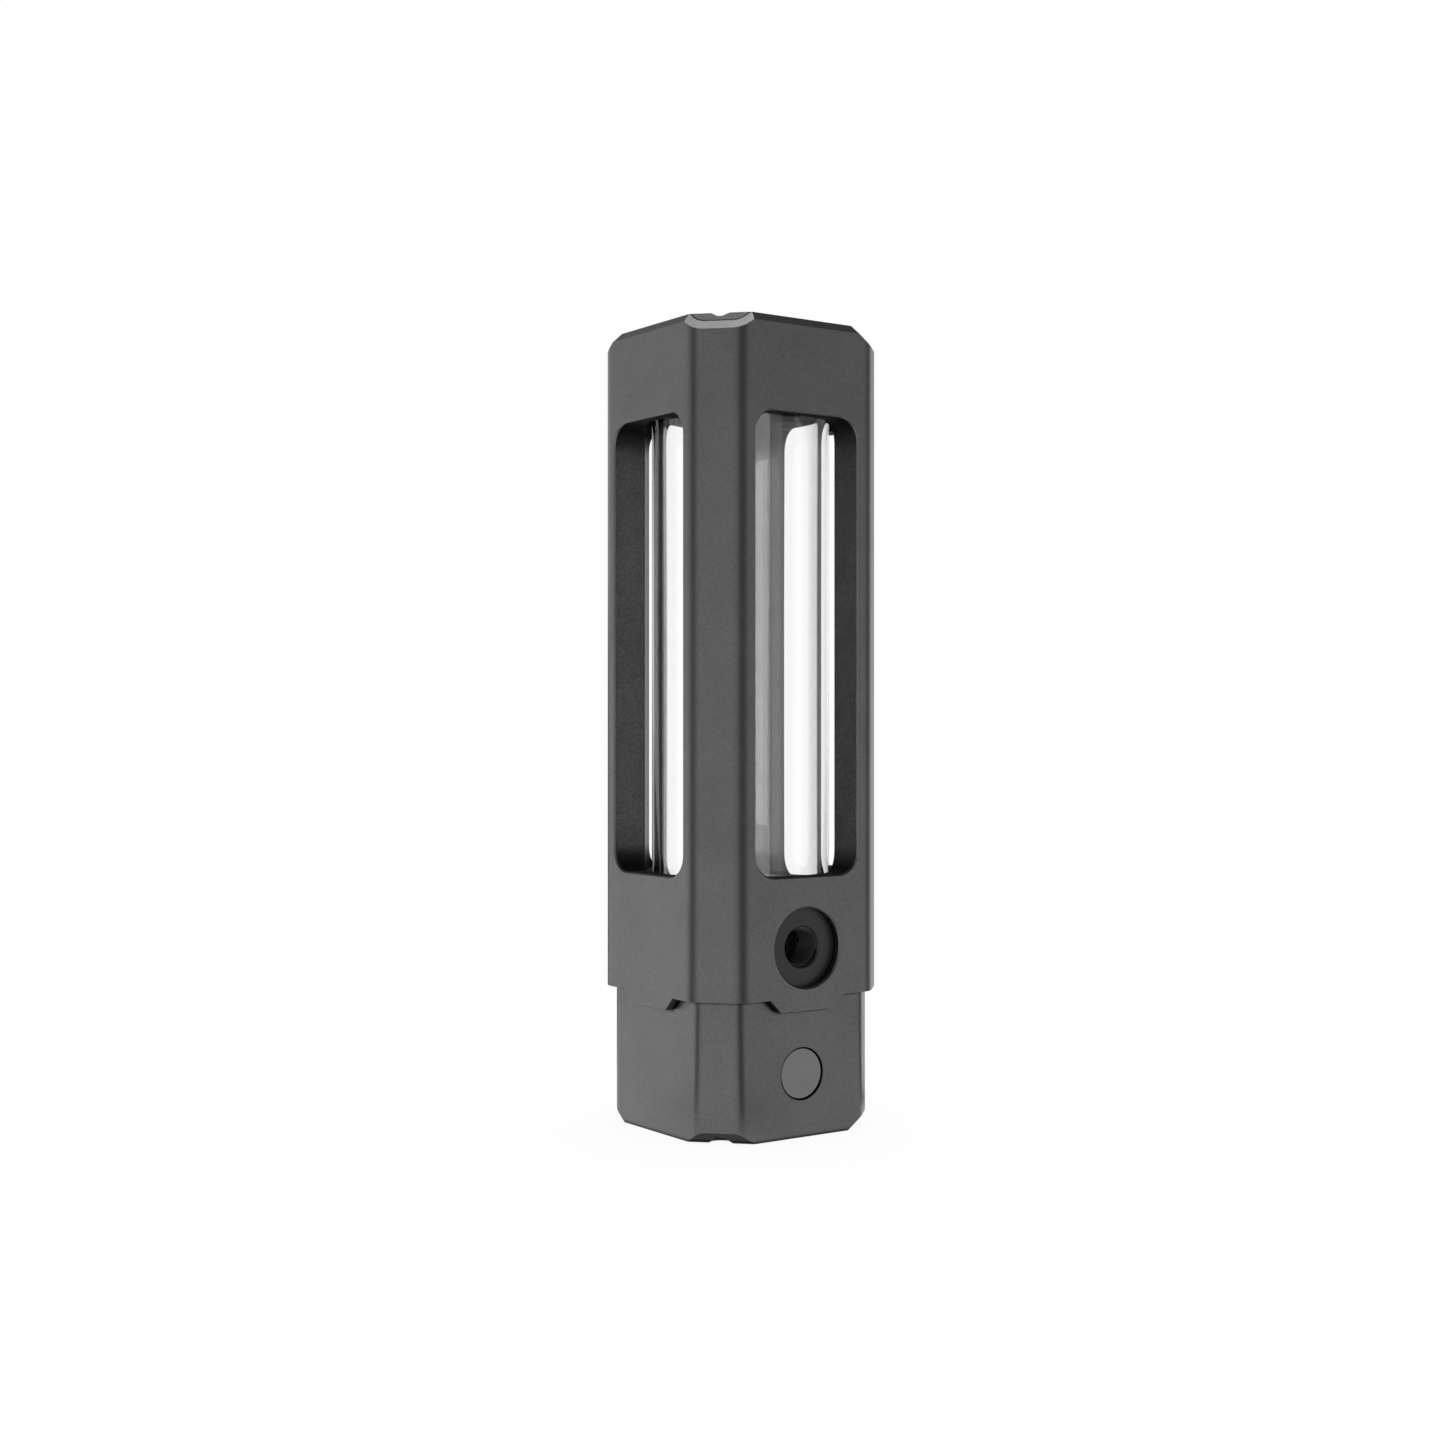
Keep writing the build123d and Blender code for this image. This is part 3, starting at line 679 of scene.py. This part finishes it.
def anodised_aluminium():
    """Black anodising on bead-blasted aluminium, a little thin along its edges; painted shade darkens it
    inside the bore and windows, most at the windows' ends, and in its joints.
    """
    made = Finish("anodised_aluminium", (0.106, 0.106, 0.108), 0.38, metallic=1.0)
    tree = made.tree
    base_rough = 0.4
    blasted_gloss = -0.04
    window_end_gloss = 0.45
    blasting = made.effect(*grain(0.6, 22, 0.35))
    made.cover(blasting["Tone"], (0.142, 0.142, 0.144))
    inside = painted_inner_shade(tree, made.place)
    pits = made.effect(*grain(0.45, 9, 0.2))
    # painted shade: the bore and the windows' inner walls darkened, with lighter grain laid over that shade
    made.cover(inside, (0.05, 0.05, 0.051))
    made.cover(product(tree, inside, pits["Tone"]), (0.125, 0.125, 0.127))
    # painted shade: the inner walls nearly black by the windows' heads and sills, and rougher there
    painted_end_shade = product(tree, inside, window_ends(tree, made.place))
    made.cover(painted_end_shade, (0.022, 0.022, 0.022))
    rough = calc(tree, "ADD", product(tree, painted_end_shade, window_end_gloss), base_rough)
    made.gloss(calc(tree, "MULTIPLY_ADD", blasting["Tone"], blasted_gloss, rough), 0.0, 1.0)
    made.relief(blasting["Height"], 0.003 * mm)
    made.worn(width=0.3, patch=4, amount=0.25, colour=(0.3, 0.3, 0.305))
    # painted shade: joints and inner corners darkened where ambient occlusion finds little open space
    joint = made.effect(painted_joint_shade, {"Reach": 1.4 * mm, "Amount": 0.92})
    made.cover(joint["Mask"], (0.012, 0.012, 0.012))
    dust = made.effect(settled_dust, {"Patch Size": 6 * mm, "Amount": 0.05})
    made.cover(dust["Mask"], (0.35, 0.34, 0.32))
    return made


def machined_acetal():
    """Black acetal with the rings of a face cutter around the side port."""
    centre = (0, 0, side_port_height)
    made = Finish("machined_acetal", (0.009, 0.009, 0.0095), 0.4, centre=centre, turn=(pi / 2, 0, 0))
    made.constants({"Specular IOR Level": 0.4})
    made.marks(rings(0.22, 5), light=(0.018, 0.018, 0.019), rough=(0.34, 0.46), depth=0.002)
    return made.worn(width=0.25, patch=2, amount=0.2, colour=(0.07, 0.07, 0.07))


def clear_glass():
    """Drawn borosilicate tube, with the faintest of draw lines."""
    made = Finish("clear_glass", (0.995, 0.995, 0.995), 0.0)
    made.constants({"Transmission Weight": 1.0, "IOR": 1.47})
    lines = made.effect(drawn_lines, {"Spacing": 9 * mm, "Stretch": 0.05})
    made.relief(lines["Height"], 0.004 * mm)
    return made


def glossy_badge():
    """Polished dark disc with fine turned rings and a faint smear."""
    centre = (0, low_of("badge_disc").y, middle_of("badge_disc").z)
    made = Finish(
        "glossy_badge", (0.15, 0.15, 0.153), 0.14, metallic=1.0, centre=centre, turn=(pi / 2, 0, 0))
    made.marks(rings(0.15, 3), light=(0.24, 0.24, 0.244), rough=(0.10, 0.2), depth=0.0006)
    smear = made.effect(*grain(1.5, 6, 0.7))
    made.cover(product(made.tree, smear["Tone"], 0.5), (0.13, 0.13, 0.133))
    return made


def laminated_iron():
    """Stacked sheets of electrical steel, half a millimetre each."""
    made = Finish("laminated_iron", (0.16, 0.155, 0.15), 0.45, metallic=1.0)
    tree = made.tree
    sheet = 0.5 * mm
    seam_start = 0.85
    saw = calc(tree, "FRACT", calc(tree, "DIVIDE", axes_of(tree, made.place)["Z"], sheet))
    seam = calc(tree, "GREATER_THAN", saw, seam_start)
    made.marks(grain(0.2, 3), light=(0.27, 0.26, 0.25), rough=(0.35, 0.55))
    made.cover(seam, (0.05, 0.045, 0.04))
    made.relief(calc(tree, "SUBTRACT", 1.0, seam), 0.03 * mm)
    return made


def solder_mask():
    """Green board with raised copper tracks under the mask and tinned pads."""
    made = Finish("solder_mask", (0.008, 0.07, 0.028), 0.3)
    tree = made.tree
    track_spacing = 4 * mm
    track_step = 0.12
    track_width = 0.035
    pad_spacing = 5 * mm
    pad_size = 0.12

    def cells(spacing, **settings):
        inputs = {"Vector": made.place, "Scale": 1 / spacing}
        return add(tree, "ShaderNodeTexVoronoi", inputs, feature="F1", **settings).outputs["Distance"]

    tracks = calc(tree, "PINGPONG", cells(track_spacing, distance="MANHATTAN"), track_step)
    lines = calc(tree, "LESS_THAN", tracks, track_width)
    tinned = calc(tree, "LESS_THAN", cells(pad_spacing), pad_size)
    made.cover(lines, (0.02, 0.14, 0.055))
    made.cover(tinned, (0.55, 0.54, 0.52))
    made.gloss(made.effect(*grain(0.4, 6))["Tone"], 0.22, 0.4)
    made.relief(calc(tree, "MAXIMUM", lines, tinned), 0.02 * mm)
    return made


slots = {
    "anodised": anodised_aluminium(),
    "black_plastic": machined_acetal(),
    # black nitrile rubber with a faint bloom
    "seal_rubber": marked(
        "matt_rubber", grain(0.35, 5, 0.6), dark=(0.012, 0.012, 0.012), light=(0.026, 0.026, 0.027),
        rough=(0.62, 0.82), depth=0.006),
    "tube_glass": clear_glass(),
    "badge_face": glossy_badge(),
    # black oxide, bright where a key has rubbed
    "screw_steel": marked(
        "blackened_steel", grain(0.2, 2, 0.5), dark=(0.045, 0.045, 0.047), light=(0.085, 0.083, 0.082),
        rough=(0.28, 0.45), depth=0.002, metallic=1.0,
        worn=dict(width=0.15, patch=0.8, amount=0.6, colour=(0.42, 0.41, 0.4))),
    "motor_plastic": marked(
        "glass_filled_plastic", texture(0.3), dark=(0.018, 0.018, 0.019), light=(0.034, 0.034, 0.036),
        rough=(0.42, 0.6), depth=0.012,
        worn=dict(width=0.3, patch=2, amount=0.3, colour=(0.1, 0.1, 0.1))),
    # rings from the punch
    "stainless": marked(
        "drawn_stainless", rings(0.3, 4), dark=(0.5, 0.49, 0.475), light=(0.63, 0.62, 0.6),
        rough=(0.18, 0.34), depth=0.001, metallic=1.0),
    "ceramic_white": marked(
        "ground_ceramic", grain(0.15, 2, 0.3), dark=(0.78, 0.77, 0.74), light=(0.87, 0.86, 0.83),
        rough=(0.08, 0.2)),
    "carbon_cup": marked(
        "turned_carbon", rings(0.12, 1), dark=(0.02, 0.02, 0.021), light=(0.06, 0.06, 0.062),
        rough=(0.35, 0.6), depth=0.003),
    "laminated_iron": laminated_iron(),
    # amber enamel over copper
    "copper_wire": marked(
        "enamelled_copper", grain(0.6, 3, 0.5), dark=(0.45, 0.13, 0.045), light=(0.68, 0.26, 0.1),
        rough=(0.18, 0.32), metallic=1.0, coat=0.6),
    "board_green": solder_mask(),
    "component_black": marked(
        "pressed_epoxy", texture(0.12), dark=(0.012, 0.012, 0.013), light=(0.03, 0.03, 0.031),
        rough=(0.4, 0.62), depth=0.004),
    # polished by the coolant
    "rotor_plastic": marked(
        "impeller_plastic", texture(0.5), dark=(0.03, 0.031, 0.034), light=(0.055, 0.056, 0.06),
        rough=(0.28, 0.45), depth=0.006,
        worn=dict(width=0.3, patch=1.5, amount=0.4, colour=(0.13, 0.13, 0.135))),
    "magnet_ferrite": marked(
        "sintered_ferrite", texture(0.2), dark=(0.03, 0.029, 0.03), light=(0.07, 0.067, 0.066),
        rough=(0.45, 0.65), depth=0.008, metallic=0.4),
    # pale where a screwdriver has rubbed
    "dial_red": marked(
        "red_nylon", texture(0.3), dark=(0.33, 0.014, 0.012), light=(0.46, 0.026, 0.02),
        rough=(0.35, 0.5), depth=0.006,
        worn=dict(width=0.2, patch=0.8, amount=0.5, colour=(0.75, 0.25, 0.22))),
    "plug_black": marked(
        "black_anodised_plug", rings(0.16, 2), dark=(0.03, 0.03, 0.031), light=(0.07, 0.07, 0.072),
        rough=(0.24, 0.4), depth=0.002, metallic=1.0, centre=(upper_port_offset, 0, 0),
        worn=dict(width=0.2, patch=1.2, amount=0.5, colour=(0.36, 0.36, 0.37))),
}
slot_of = {part["node"]: part["material_slot"] for part in frame["record"]["subparts"]}
body_of = {node: body for body, nodes in frame["record"]["behaviour"]["bodies"].items() for node in nodes}

for node, shape in frame["nodes"].items():
    shape.data.materials.clear()
    shape.data.materials.append(slots[slot_of[node]].material)


def paint_of(node):
    return slots[slot_of[node]].material


def fit(piece, node, stands_in=True):
    """Gives a piece the finish and the body of a CAD node, and lets it stand for the node."""
    piece.data.materials.clear()
    piece.data.materials.append(paint_of(node))
    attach(piece, body_of[node])
    if stands_in:
        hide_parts(node)


# Sleeve, covers and tube

def wall_section(node, wall):
    """Section of a tube or ring that fills a node's box."""
    outer = radius_of(node)
    low, high = heights_of(node)
    return [(outer - wall, low), (outer, low), (outer, high), (outer - wall, high)]


fit(machined("top_plate", sharp_angle=20), "top_plate")
for node, width in (
    ("armour_sleeve", 0.04 * mm),
    ("lower_cover", 0.2 * mm),
    ("top_cap", 0.15 * mm),
    ("pump_top", 0.15 * mm),
    ("rear_cover", 0.3 * mm),
    ("impeller", 0.12 * mm),
):
    fit(machined(node, width), node)
tube = turned("glass_tube_clear", wall_section("glass_tube", 4.0 * mm), rounding=0.8 * mm, steps=256)
fit(tube, "glass_tube")
for node, width in (
    ("tube_seal_upper", 1.95 * mm),
    ("tube_seal_lower", 1.95 * mm),
    ("pump_seal", 2.6 * mm),
    ("fill_plug_seal", 1.7 * mm),
):
    low, high = heights_of(node)
    centre = middle_of(node)
    seal = turned(node + "_ring", wall_section(node, width), rounding=seal_rounding * (high - low))
    fit(placed(seal, upright_at(centre.x, centre.y, 0)), node)


# Threads in the open ports

def port_ridge(name, start, length):
    """Ridge of an internal G1/4 thread, its root sunk a little into the port's wall."""
    sunk = 0.05 * mm
    middle = port_radius - port_thread_depth / 2 + sunk
    paint = paint_of("pump_top")
    return ridge(name, middle, port_pitch, port_thread_depth, start, length, True, paint, steps=64)


side_face = -low_of("pump_top").y
side_thread = port_ridge("side_port_thread", side_face - side_port_depth + port_pitch,
                         side_port_depth - port_mouth - 1.5 * port_pitch)
fit(placed(side_thread, toward_port(side_port_height)), "pump_top", stands_in=False)

return_thread = port_ridge("return_port_thread", cap_top - upper_port_depth + port_pitch,
                           upper_port_depth - port_mouth - 1.5 * port_pitch)
fit(placed(return_thread, upright_at(-upper_port_offset, 0, 0)), "top_cap", stands_in=False)


# Badge

def badge_disc():
    """Bare disc with a soft edge and a face that rises slightly to its middle."""
    back = -high_of("badge_disc").y
    face = -low_of("badge_disc").y
    radius = radius_of("badge_disc")
    crown = 0.1 * mm
    corners = [
        (0, back),
        (radius, back, 0.1 * mm),
        (radius, face - crown, 0.35 * mm),
        (radius * 0.6, face - crown * 0.3, 2 * mm),
        (0, face),
    ]
    disc = turned("badge_disc_glossy", corners, steps=128)
    return placed(disc, toward_port(middle_of("badge_disc").z))


fit(badge_disc(), "badge_disc")


# Cap screws

def grip_ribs(name, count, radius, reach, low, high, paint):
    """Straight knurling: narrow ribs that stand out of a head."""
    half = pi * radius / count * 0.7
    sunk = radius - reach
    section = [(sunk, -half), (radius + reach, 0), (sunk, half)]
    mesh = bpy.data.meshes.new(name)
    points = [(x, y, z) for z in (low, high) for x, y in section]
    mesh.from_pydata(points, [], [(2, 1, 0), (3, 4, 5), (0, 1, 4, 3), (1, 2, 5, 4), (2, 0, 3, 5)])
    return grown(linked(name, mesh), copies, {"Count": count, "Material": paint})


def cap_screw(name, length, threaded):
    """Upright cap screw, its head's seat at the origin: knurled head, hex socket, rolled thread."""
    rib_reach = 0.08 * mm
    core = shank_radius - 0.3 * mm
    head = head_radius - rib_reach
    flat = screw_socket / 2
    socket_floor = head_height - screw_socket_depth
    corners = [
        (0, socket_floor - 0.5 * mm, 0),
        (flat, socket_floor, 0, 6),
        (flat, head_height - 0.15 * mm, 0, 6),
        (flat * 1.2, head_height, 0),
        (head, head_height, 0.35 * mm),
        (head, 0, 0.15 * mm),
        (shank_radius, 0, 0.1 * mm),
        (shank_radius, threaded - length, 0.1 * mm),
        (core, threaded - length - 0.2 * mm, 0.1 * mm),
        (core, 0.1 * mm - length, 0.2 * mm),
        (core * 0.6, -length, 0),
        (0, -length, 0),
    ]
    paint = paint_of("top_screws")
    ribs = grip_ribs(name + "_ribs", 32, head, rib_reach, 0.4 * mm, head_height - 0.5 * mm, paint)
    depth = shank_radius - core
    rolled = ridge(name + "_thread", core + depth / 2, screw_pitch, depth, screw_pitch - length,
                   threaded - 2 * screw_pitch, False, paint, steps=24)
    return merged(name, [turned(name + "_blank", corners, steps=72), ribs, rolled])


def corner_screws(node, length, threaded, head_down=False):
    """Four cap screws on the body's diagonals, with their heads where the node has them."""
    screw = cap_screw(node + "_threaded", length, threaded)
    seat = high_of(node).z - head_height
    turn = Matrix.Identity(4)
    if head_down:
        seat = low_of(node).z + head_height
        turn = Matrix.Rotation(pi, 4, "X")
    placed(screw, upright_at(0, 0, seat) @ turn)
    distance = (high_of(node).x - head_radius) * sqrt(2)
    return grown(screw, copies, {
        "Count": 4, "Distance": distance, "First Angle": pi / 4, "Material": paint_of(node)})


def length_of_screws(node):
    low, high = heights_of(node)
    return high - low - head_height


fit(corner_screws("top_screws", length_of_screws("top_screws"), 12 * mm), "top_screws")
fit(corner_screws("base_screws", length_of_screws("base_screws"), 14 * mm, head_down=True), "base_screws")


# Fill plug

def fill_plug():
    """Round-headed G1/4 plug: knurled rim, hex socket, O-ring groove and thread."""
    low, high = heights_of("fill_plug")
    seat = high - 3.6 * mm
    socket_floor = high - 5.0 * mm
    flat = 3.0 * mm
    rim = radius_of("fill_plug")
    rib_reach = 0.12 * mm
    head = rim - rib_reach
    groove_top = cap_top + 1.7 * mm
    groove_outer = 9.2 * mm
    core = port_radius - 0.1 * mm - port_thread_depth
    corners = [
        (0, socket_floor - 0.8 * mm, 0),
        (flat, socket_floor, 0, 6),
        (flat, high - 0.4 * mm, 0, 6),
        (flat * 1.25, high, 0.1 * mm),
        (head * 0.8, high, 0.1 * mm),
        (head * 0.8 + 0.3 * mm, high - 0.25 * mm, 0.1 * mm),
        (head * 0.8 + 0.6 * mm, high, 0.1 * mm),
        (head, high, 0.5 * mm),
        (head, seat, 0.15 * mm),
        (groove_outer, seat, 0.05 * mm),
        (groove_outer, groove_top, 0.05 * mm),
        (port_radius + 0.4 * mm, groove_top, 0.1 * mm),
        (port_radius + 0.4 * mm, seat - 0.2 * mm, 0.1 * mm),
        (core, seat - 0.8 * mm, 0.1 * mm),
        (core, low + 0.5 * mm, 0.1 * mm),
        (core - 0.5 * mm, low, 0.1 * mm),
        (0, low, 0),
    ]
    paint = paint_of("fill_plug")
    ribs = grip_ribs("fill_plug_ribs", 60, head, rib_reach, seat + 0.5 * mm, high - 0.7 * mm, paint)
    cut = ridge("fill_plug_thread", core + port_thread_depth / 2 - 0.05 * mm, port_pitch, port_thread_depth,
                low + port_pitch * 0.6, seat - low - 2.2 * port_pitch, False, paint, steps=64)
    plug = merged("fill_plug_knurled", [turned("fill_plug_blank", corners, steps=144), ribs, cut])
    return placed(plug, upright_at(upper_port_offset, 0, 0))


fit(fill_plug(), "fill_plug")


# Rear of the motor

def cable_gland():
    """Rubber bush with grip ribs on its tail and an open bore."""
    inside = low_of("cable_gland").y
    tail = high_of("cable_gland").y
    collar = radius_of("cable_gland")
    neck = collar - 0.6 * mm
    bore = 2.0 * mm
    flange = 1.6 * mm
    wall_face = tail - 4.4 * mm
    corners = [(bore, inside), (collar, inside), (collar, inside + flange), (neck, inside + flange),
               (neck, wall_face), (collar, wall_face), (collar, wall_face + flange)]
    rib = 0.7 * mm
    place = wall_face + flange
    while place + 2 * rib < tail:
        corners += [(neck - 0.3 * mm, place + 0.1 * mm), (neck - 0.3 * mm, place + rib),
                    (neck + 0.1 * mm, place + rib), (neck + 0.1 * mm, place + 2 * rib)]
        place += 2 * rib
    corners += [(neck - 0.3 * mm, tail), (bore, tail)]
    bush = turned("cable_gland_ribbed", corners, rounding=0.2 * mm, steps=64)
    return placed(bush, toward_back(middle_of("cable_gland").z))


def dial_numbers():
    """Raised numbers 1 to 5 around the dial, read from below."""
    reach = 7.4 * mm
    raised = 0.15 * mm
    shell = bmesh.new()
    for place in range(5):
        text = bpy.data.curves.new("dial_number", "FONT")
        text.body = str(place + 1)
        text.size = 2.8 * mm
        text.extrude = raised
        text.align_x = text.align_y = "CENTER"
        sign = linked("dial_number", text)
        graph = bpy.context.evaluated_depsgraph_get()
        mesh = bpy.data.meshes.new_from_object(sign.evaluated_get(graph))
        angle = radians(-135 + 67.5 * place)
        turn = Matrix.Rotation(angle - pi / 2, 4, "Z") @ Matrix.Rotation(pi, 4, "Y")
        around = Vector((cos(angle), sin(angle), 0)) * reach
        mesh.transform(upright_at(dial_centre.x + around.x, dial_centre.y + around.y, rear_face) @ turn)
        shell.from_mesh(mesh)
        bpy.data.objects.remove(sign)
    return from_shell("dial_numbers", shell)


fit(cable_gland(), "cable_gland")
fit(machined("speed_dial", 0.1 * mm), "speed_dial")
fit(dial_numbers(), "rear_cover", stands_in=False)


# Stator windings

def stator_windings():
    """Six coils, each of four layers of wire wound around its pole."""
    pole_width = 6.1 * mm
    pole_height = 7.3 * mm
    wire = 0.56 * mm
    spacing = 0.64 * mm
    start = 16.95 * mm
    paint = paint_of("stator_coils")
    layers = []
    for layer in range(4):
        grow = wire * (2 * layer + 1)
        name = f"winding_layer_{layer}"
        layers.append(grown(linked(name, bpy.data.meshes.new(name)), winding, {
            "Width": pole_width + grow,
            "Height": pole_height + grow,
            "Corner": wire * (layer + 1),
            "Wire Radius": wire / 2,
            "Turns": 6,
            "Spacing": spacing,
            "Material": paint,
        }))
    coil = merged("stator_windings", layers)
    outwards = Matrix(((0, 0, 1, 0), (1, 0, 0, 0), (0, 1, 0, 0), (0, 0, 0, 1)))
    placed(coil, upright_at(start, 0, middle_of("stator_coils").z) @ outwards)
    return grown(coil, copies, {"Count": 6, "Material": paint})


fit(stator_windings(), "stator_coils")


# Camera

view_turn = radians(34.9)
view_distance = 0.677
view_shift = -0.00694
view_height = 0.1354

across = Vector((cos(view_turn), -sin(view_turn), 0))
ahead = Vector((sin(view_turn), cos(view_turn), 0))
camera = linked("camera", bpy.data.cameras.new("camera"))
camera.location = across * view_shift - ahead * view_distance + Vector((0, 0, view_height))
camera.rotation_euler = (pi / 2, 0, -view_turn)
camera.data.lens = 50
camera.data.sensor_width = 36
camera.data.clip_start = 0.01
scene.camera = camera


# Studio

bright_turn = radians(125)       # side of the studio that is lit a little more
mirrored_level = 1.06
mirrored_lean = 0.19
mirrored_fall = 1.1              # how much darker the studio's tent gets as it rises
roof_start = 0.3                 # sine of the height where the tent's dark roof starts
roof_end = 0.55
roof_level = 0.7
roof_turn = radians(47)          # side of the studio that has the dark roof
roof_side_end = 0.5
floor_gain = 1.08                # floor against the tent, as metal mirrors them
floor_mirrored_share = 0.9
floor_straight_share = 0.93      # the rest is lit paper, which shows the shadow
card_lift = 1 * mm
card_level = 0.1


def facing_side(tree, toward, turn):
    """How far a direction points to a side of the studio, from -1 to 1."""
    flat = first(tree, "ShaderNodeVectorMath", {0: toward, 1: (1, 1, 0)}, operation="MULTIPLY")
    flat = first(tree, "ShaderNodeVectorMath", {0: flat}, operation="NORMALIZE")
    return dot(tree, flat, (cos(turn), sin(turn), 0))


def sided_level(tree, toward):
    """Level that metal mirrors from a direction: brighter on the bright side."""
    lean = facing_side(tree, toward, bright_turn)
    return calc(tree, "MULTIPLY_ADD", lean, mirrored_lean, mirrored_level)


def either(tree, share, shader, other):
    """Shader that turns into another one by a share."""
    return first(tree, "ShaderNodeMixShader", {0: share, 1: shader, 2: other})


def glow(tree, level):
    return first(tree, "ShaderNodeEmission", {"Strength": level})


def seen_by_ray(tree, plain_shader, mirrored, straight, mirrored_share=1.0, straight_share=1.0):
    """Shader for a backdrop: plain for light, one level for mirrors, white for the eye and through glass."""
    path = add(tree, "ShaderNodeLightPath").outputs
    glossy = product(tree, path["Is Glossy Ray"], mirrored_share)
    seen = calc(tree, "MAXIMUM", path["Is Camera Ray"], path["Is Transmission Ray"])
    lit = either(tree, glossy, plain_shader, mirrored)
    return either(tree, product(tree, seen, straight_share), lit, straight)


def staged(name, points, faces, finish, surface=None, unseen=()):
    """Piece of the studio, with its own surface or its finish, hidden from some kinds of rays."""
    if surface:
        finish.tree.links.new(surface, finish.tree.nodes["Material Output"].inputs["Surface"])
    mesh = bpy.data.meshes.new(name)
    mesh.from_pydata(points, [], faces)
    mesh.materials.append(finish.material)
    piece = linked(name, mesh)
    for ray in unseen:
        setattr(piece, "visible_" + ray, False)


def studio_world(ambient):
    world = bpy.data.worlds.new("studio")
    world.use_nodes = True
    scene.world = world
    tree = world.node_tree
    toward = add(tree, "ShaderNodeTexCoord").outputs["Generated"]
    rise = axes_of(tree, toward)["Z"]
    wall = calc(tree, "MULTIPLY_ADD", rise, -mirrored_fall, 1.0)
    smooth_step = {"interpolation_type": "SMOOTHSTEP"}
    roof = mapped(tree, rise, roof_start, roof_end, high=1.0 - roof_level, **smooth_step)
    roof_side = mapped(tree, facing_side(tree, toward, roof_turn), 0.0, roof_side_end, **smooth_step)
    roof = calc(tree, "SUBTRACT", 1.0, product(tree, roof, roof_side))
    level = product(tree, sided_level(tree, toward), product(tree, wall, roof))
    soft, tent, bright = [
        first(tree, "ShaderNodeBackground", {"Color": (1, 1, 1, 1), "Strength": strength})
        for strength in (ambient, level, 1.0)]
    tree.links.new(seen_by_ray(tree, soft, tent, bright), tree.nodes["World Output"].inputs["Surface"])


def studio_floor(reach):
    paper = Finish("floor_paper", (0.95, 0.95, 0.95), 0.9)
    tree = paper.tree
    level = product(tree, sided_level(tree, paper.place), floor_gain)
    surface = seen_by_ray(tree, tree.nodes["Principled BSDF"].outputs[0], glow(tree, level), glow(tree, 1.0),
                          floor_mirrored_share, floor_straight_share)
    corners = [(-reach, -reach, 0), (reach, -reach, 0), (reach, reach, 0), (-reach, reach, 0)]
    staged("floor", corners, [(0, 1, 2, 3)], paper, surface)


def overhead_sun(turn, rise, strength, spread):
    lamp = bpy.data.lights.new("overhead", "SUN")
    lamp.energy = strength
    lamp.angle = spread
    piece = linked("overhead", lamp)
    away = Vector((cos(turn) * cos(rise), sin(turn) * cos(rise), sin(rise)))
    piece.rotation_euler = (-away).to_track_quat("-Z", "Y").to_euler()


def reflector(name, points, faces, level):
    """Card that only reflections see, black or as bright as its level."""
    paint = Finish(name, (0.01, 0.01, 0.01), 0.9)
    paint.constants({"Emission Color": (1, 1, 1, 1), "Emission Strength": level})
    staged(name, points, faces, paint, unseen=("camera", "diffuse", "transmission", "shadow"))


def directions(turn, width):
    """Way out to a side of the studio, and half a card's width across it."""
    return Vector((cos(turn), sin(turn), 0)), Vector((-sin(turn), cos(turn), 0)) * width / 2


def glass_card(name, turn, width, low, high, distance, level):
    """Bright card that shows only by way of the glass tube, where its far wall mirrors the studio."""
    out, side = directions(turn, width)
    out *= distance
    low = Vector((0, 0, low))
    high = Vector((0, 0, high))
    paint = Finish(name, (0, 0, 0), 1.0)
    tree = paint.tree
    path = add(tree, "ShaderNodeLightPath").outputs
    seen = product(tree, *[calc(tree, "GREATER_THAN", path[kind + " Depth"], 0.5)
                           for kind in ("Glossy", "Transmission")])
    clear = first(tree, "ShaderNodeBsdfTransparent")
    points = [out - side + low, out + side + low, out + side + high, out - side + high]
    staged(name, points, [(0, 1, 2, 3)], paint, either(tree, seen, clear, glow(tree, level)),
           unseen=("camera", "diffuse", "shadow"))


def dark_card(name, turn, width, near=0.06, far=0.6, height=0.8):
    """Card that lies on the floor towards the object and stands up behind."""
    out, side = directions(turn, width)
    lift = Vector((0, 0, card_lift))
    low = [out * near - side * near / far + lift, out * near + side * near / far + lift]
    bend = [out * far - side + lift, out * far + side + lift]
    high = [corner + Vector((0, 0, height)) for corner in bend]
    reflector(name, low + bend + high, [(0, 1, 3, 2), (2, 3, 5, 4)], card_level)


def foot_shade_card(corner, level):
    """Dark card under the foot, square with its corners cut at a distance from the axis: painted shade in
    place of the contact shadow that the foot's faces mirror.
    """
    face = high_of("lower_cover").x
    short = corner * sqrt(2) - face
    side = [Vector((face, -short, card_lift / 2)), Vector((face, short, card_lift / 2))]
    points = [Matrix.Rotation(turn * pi / 2, 3, "Z") @ end for turn in range(4) for end in side]
    reflector("card_foot_shade", points, [tuple(range(len(points)))], level)


studio_world(ambient=0.85)
studio_floor(reach=6.0)
glass_card("card_glass", turn=radians(202), width=0.26, low=0.068, high=0.309, distance=0.6, level=4.5)
overhead_sun(turn=radians(50), rise=radians(84), strength=1.05, spread=radians(20))
dark_card("card_left", radians(172), width=0.26)
dark_card("card_front", radians(260), width=0.3)
dark_card("card_right", radians(347), width=0.25)
dark_card("card_back", radians(91), width=0.2, near=0.12, height=0.2)
# dark card under the foot: painted shade in place of the contact shadow that reflections see
foot_shade_card(corner=42 * mm, level=0.28)

scene.view_settings.view_transform = "Standard"
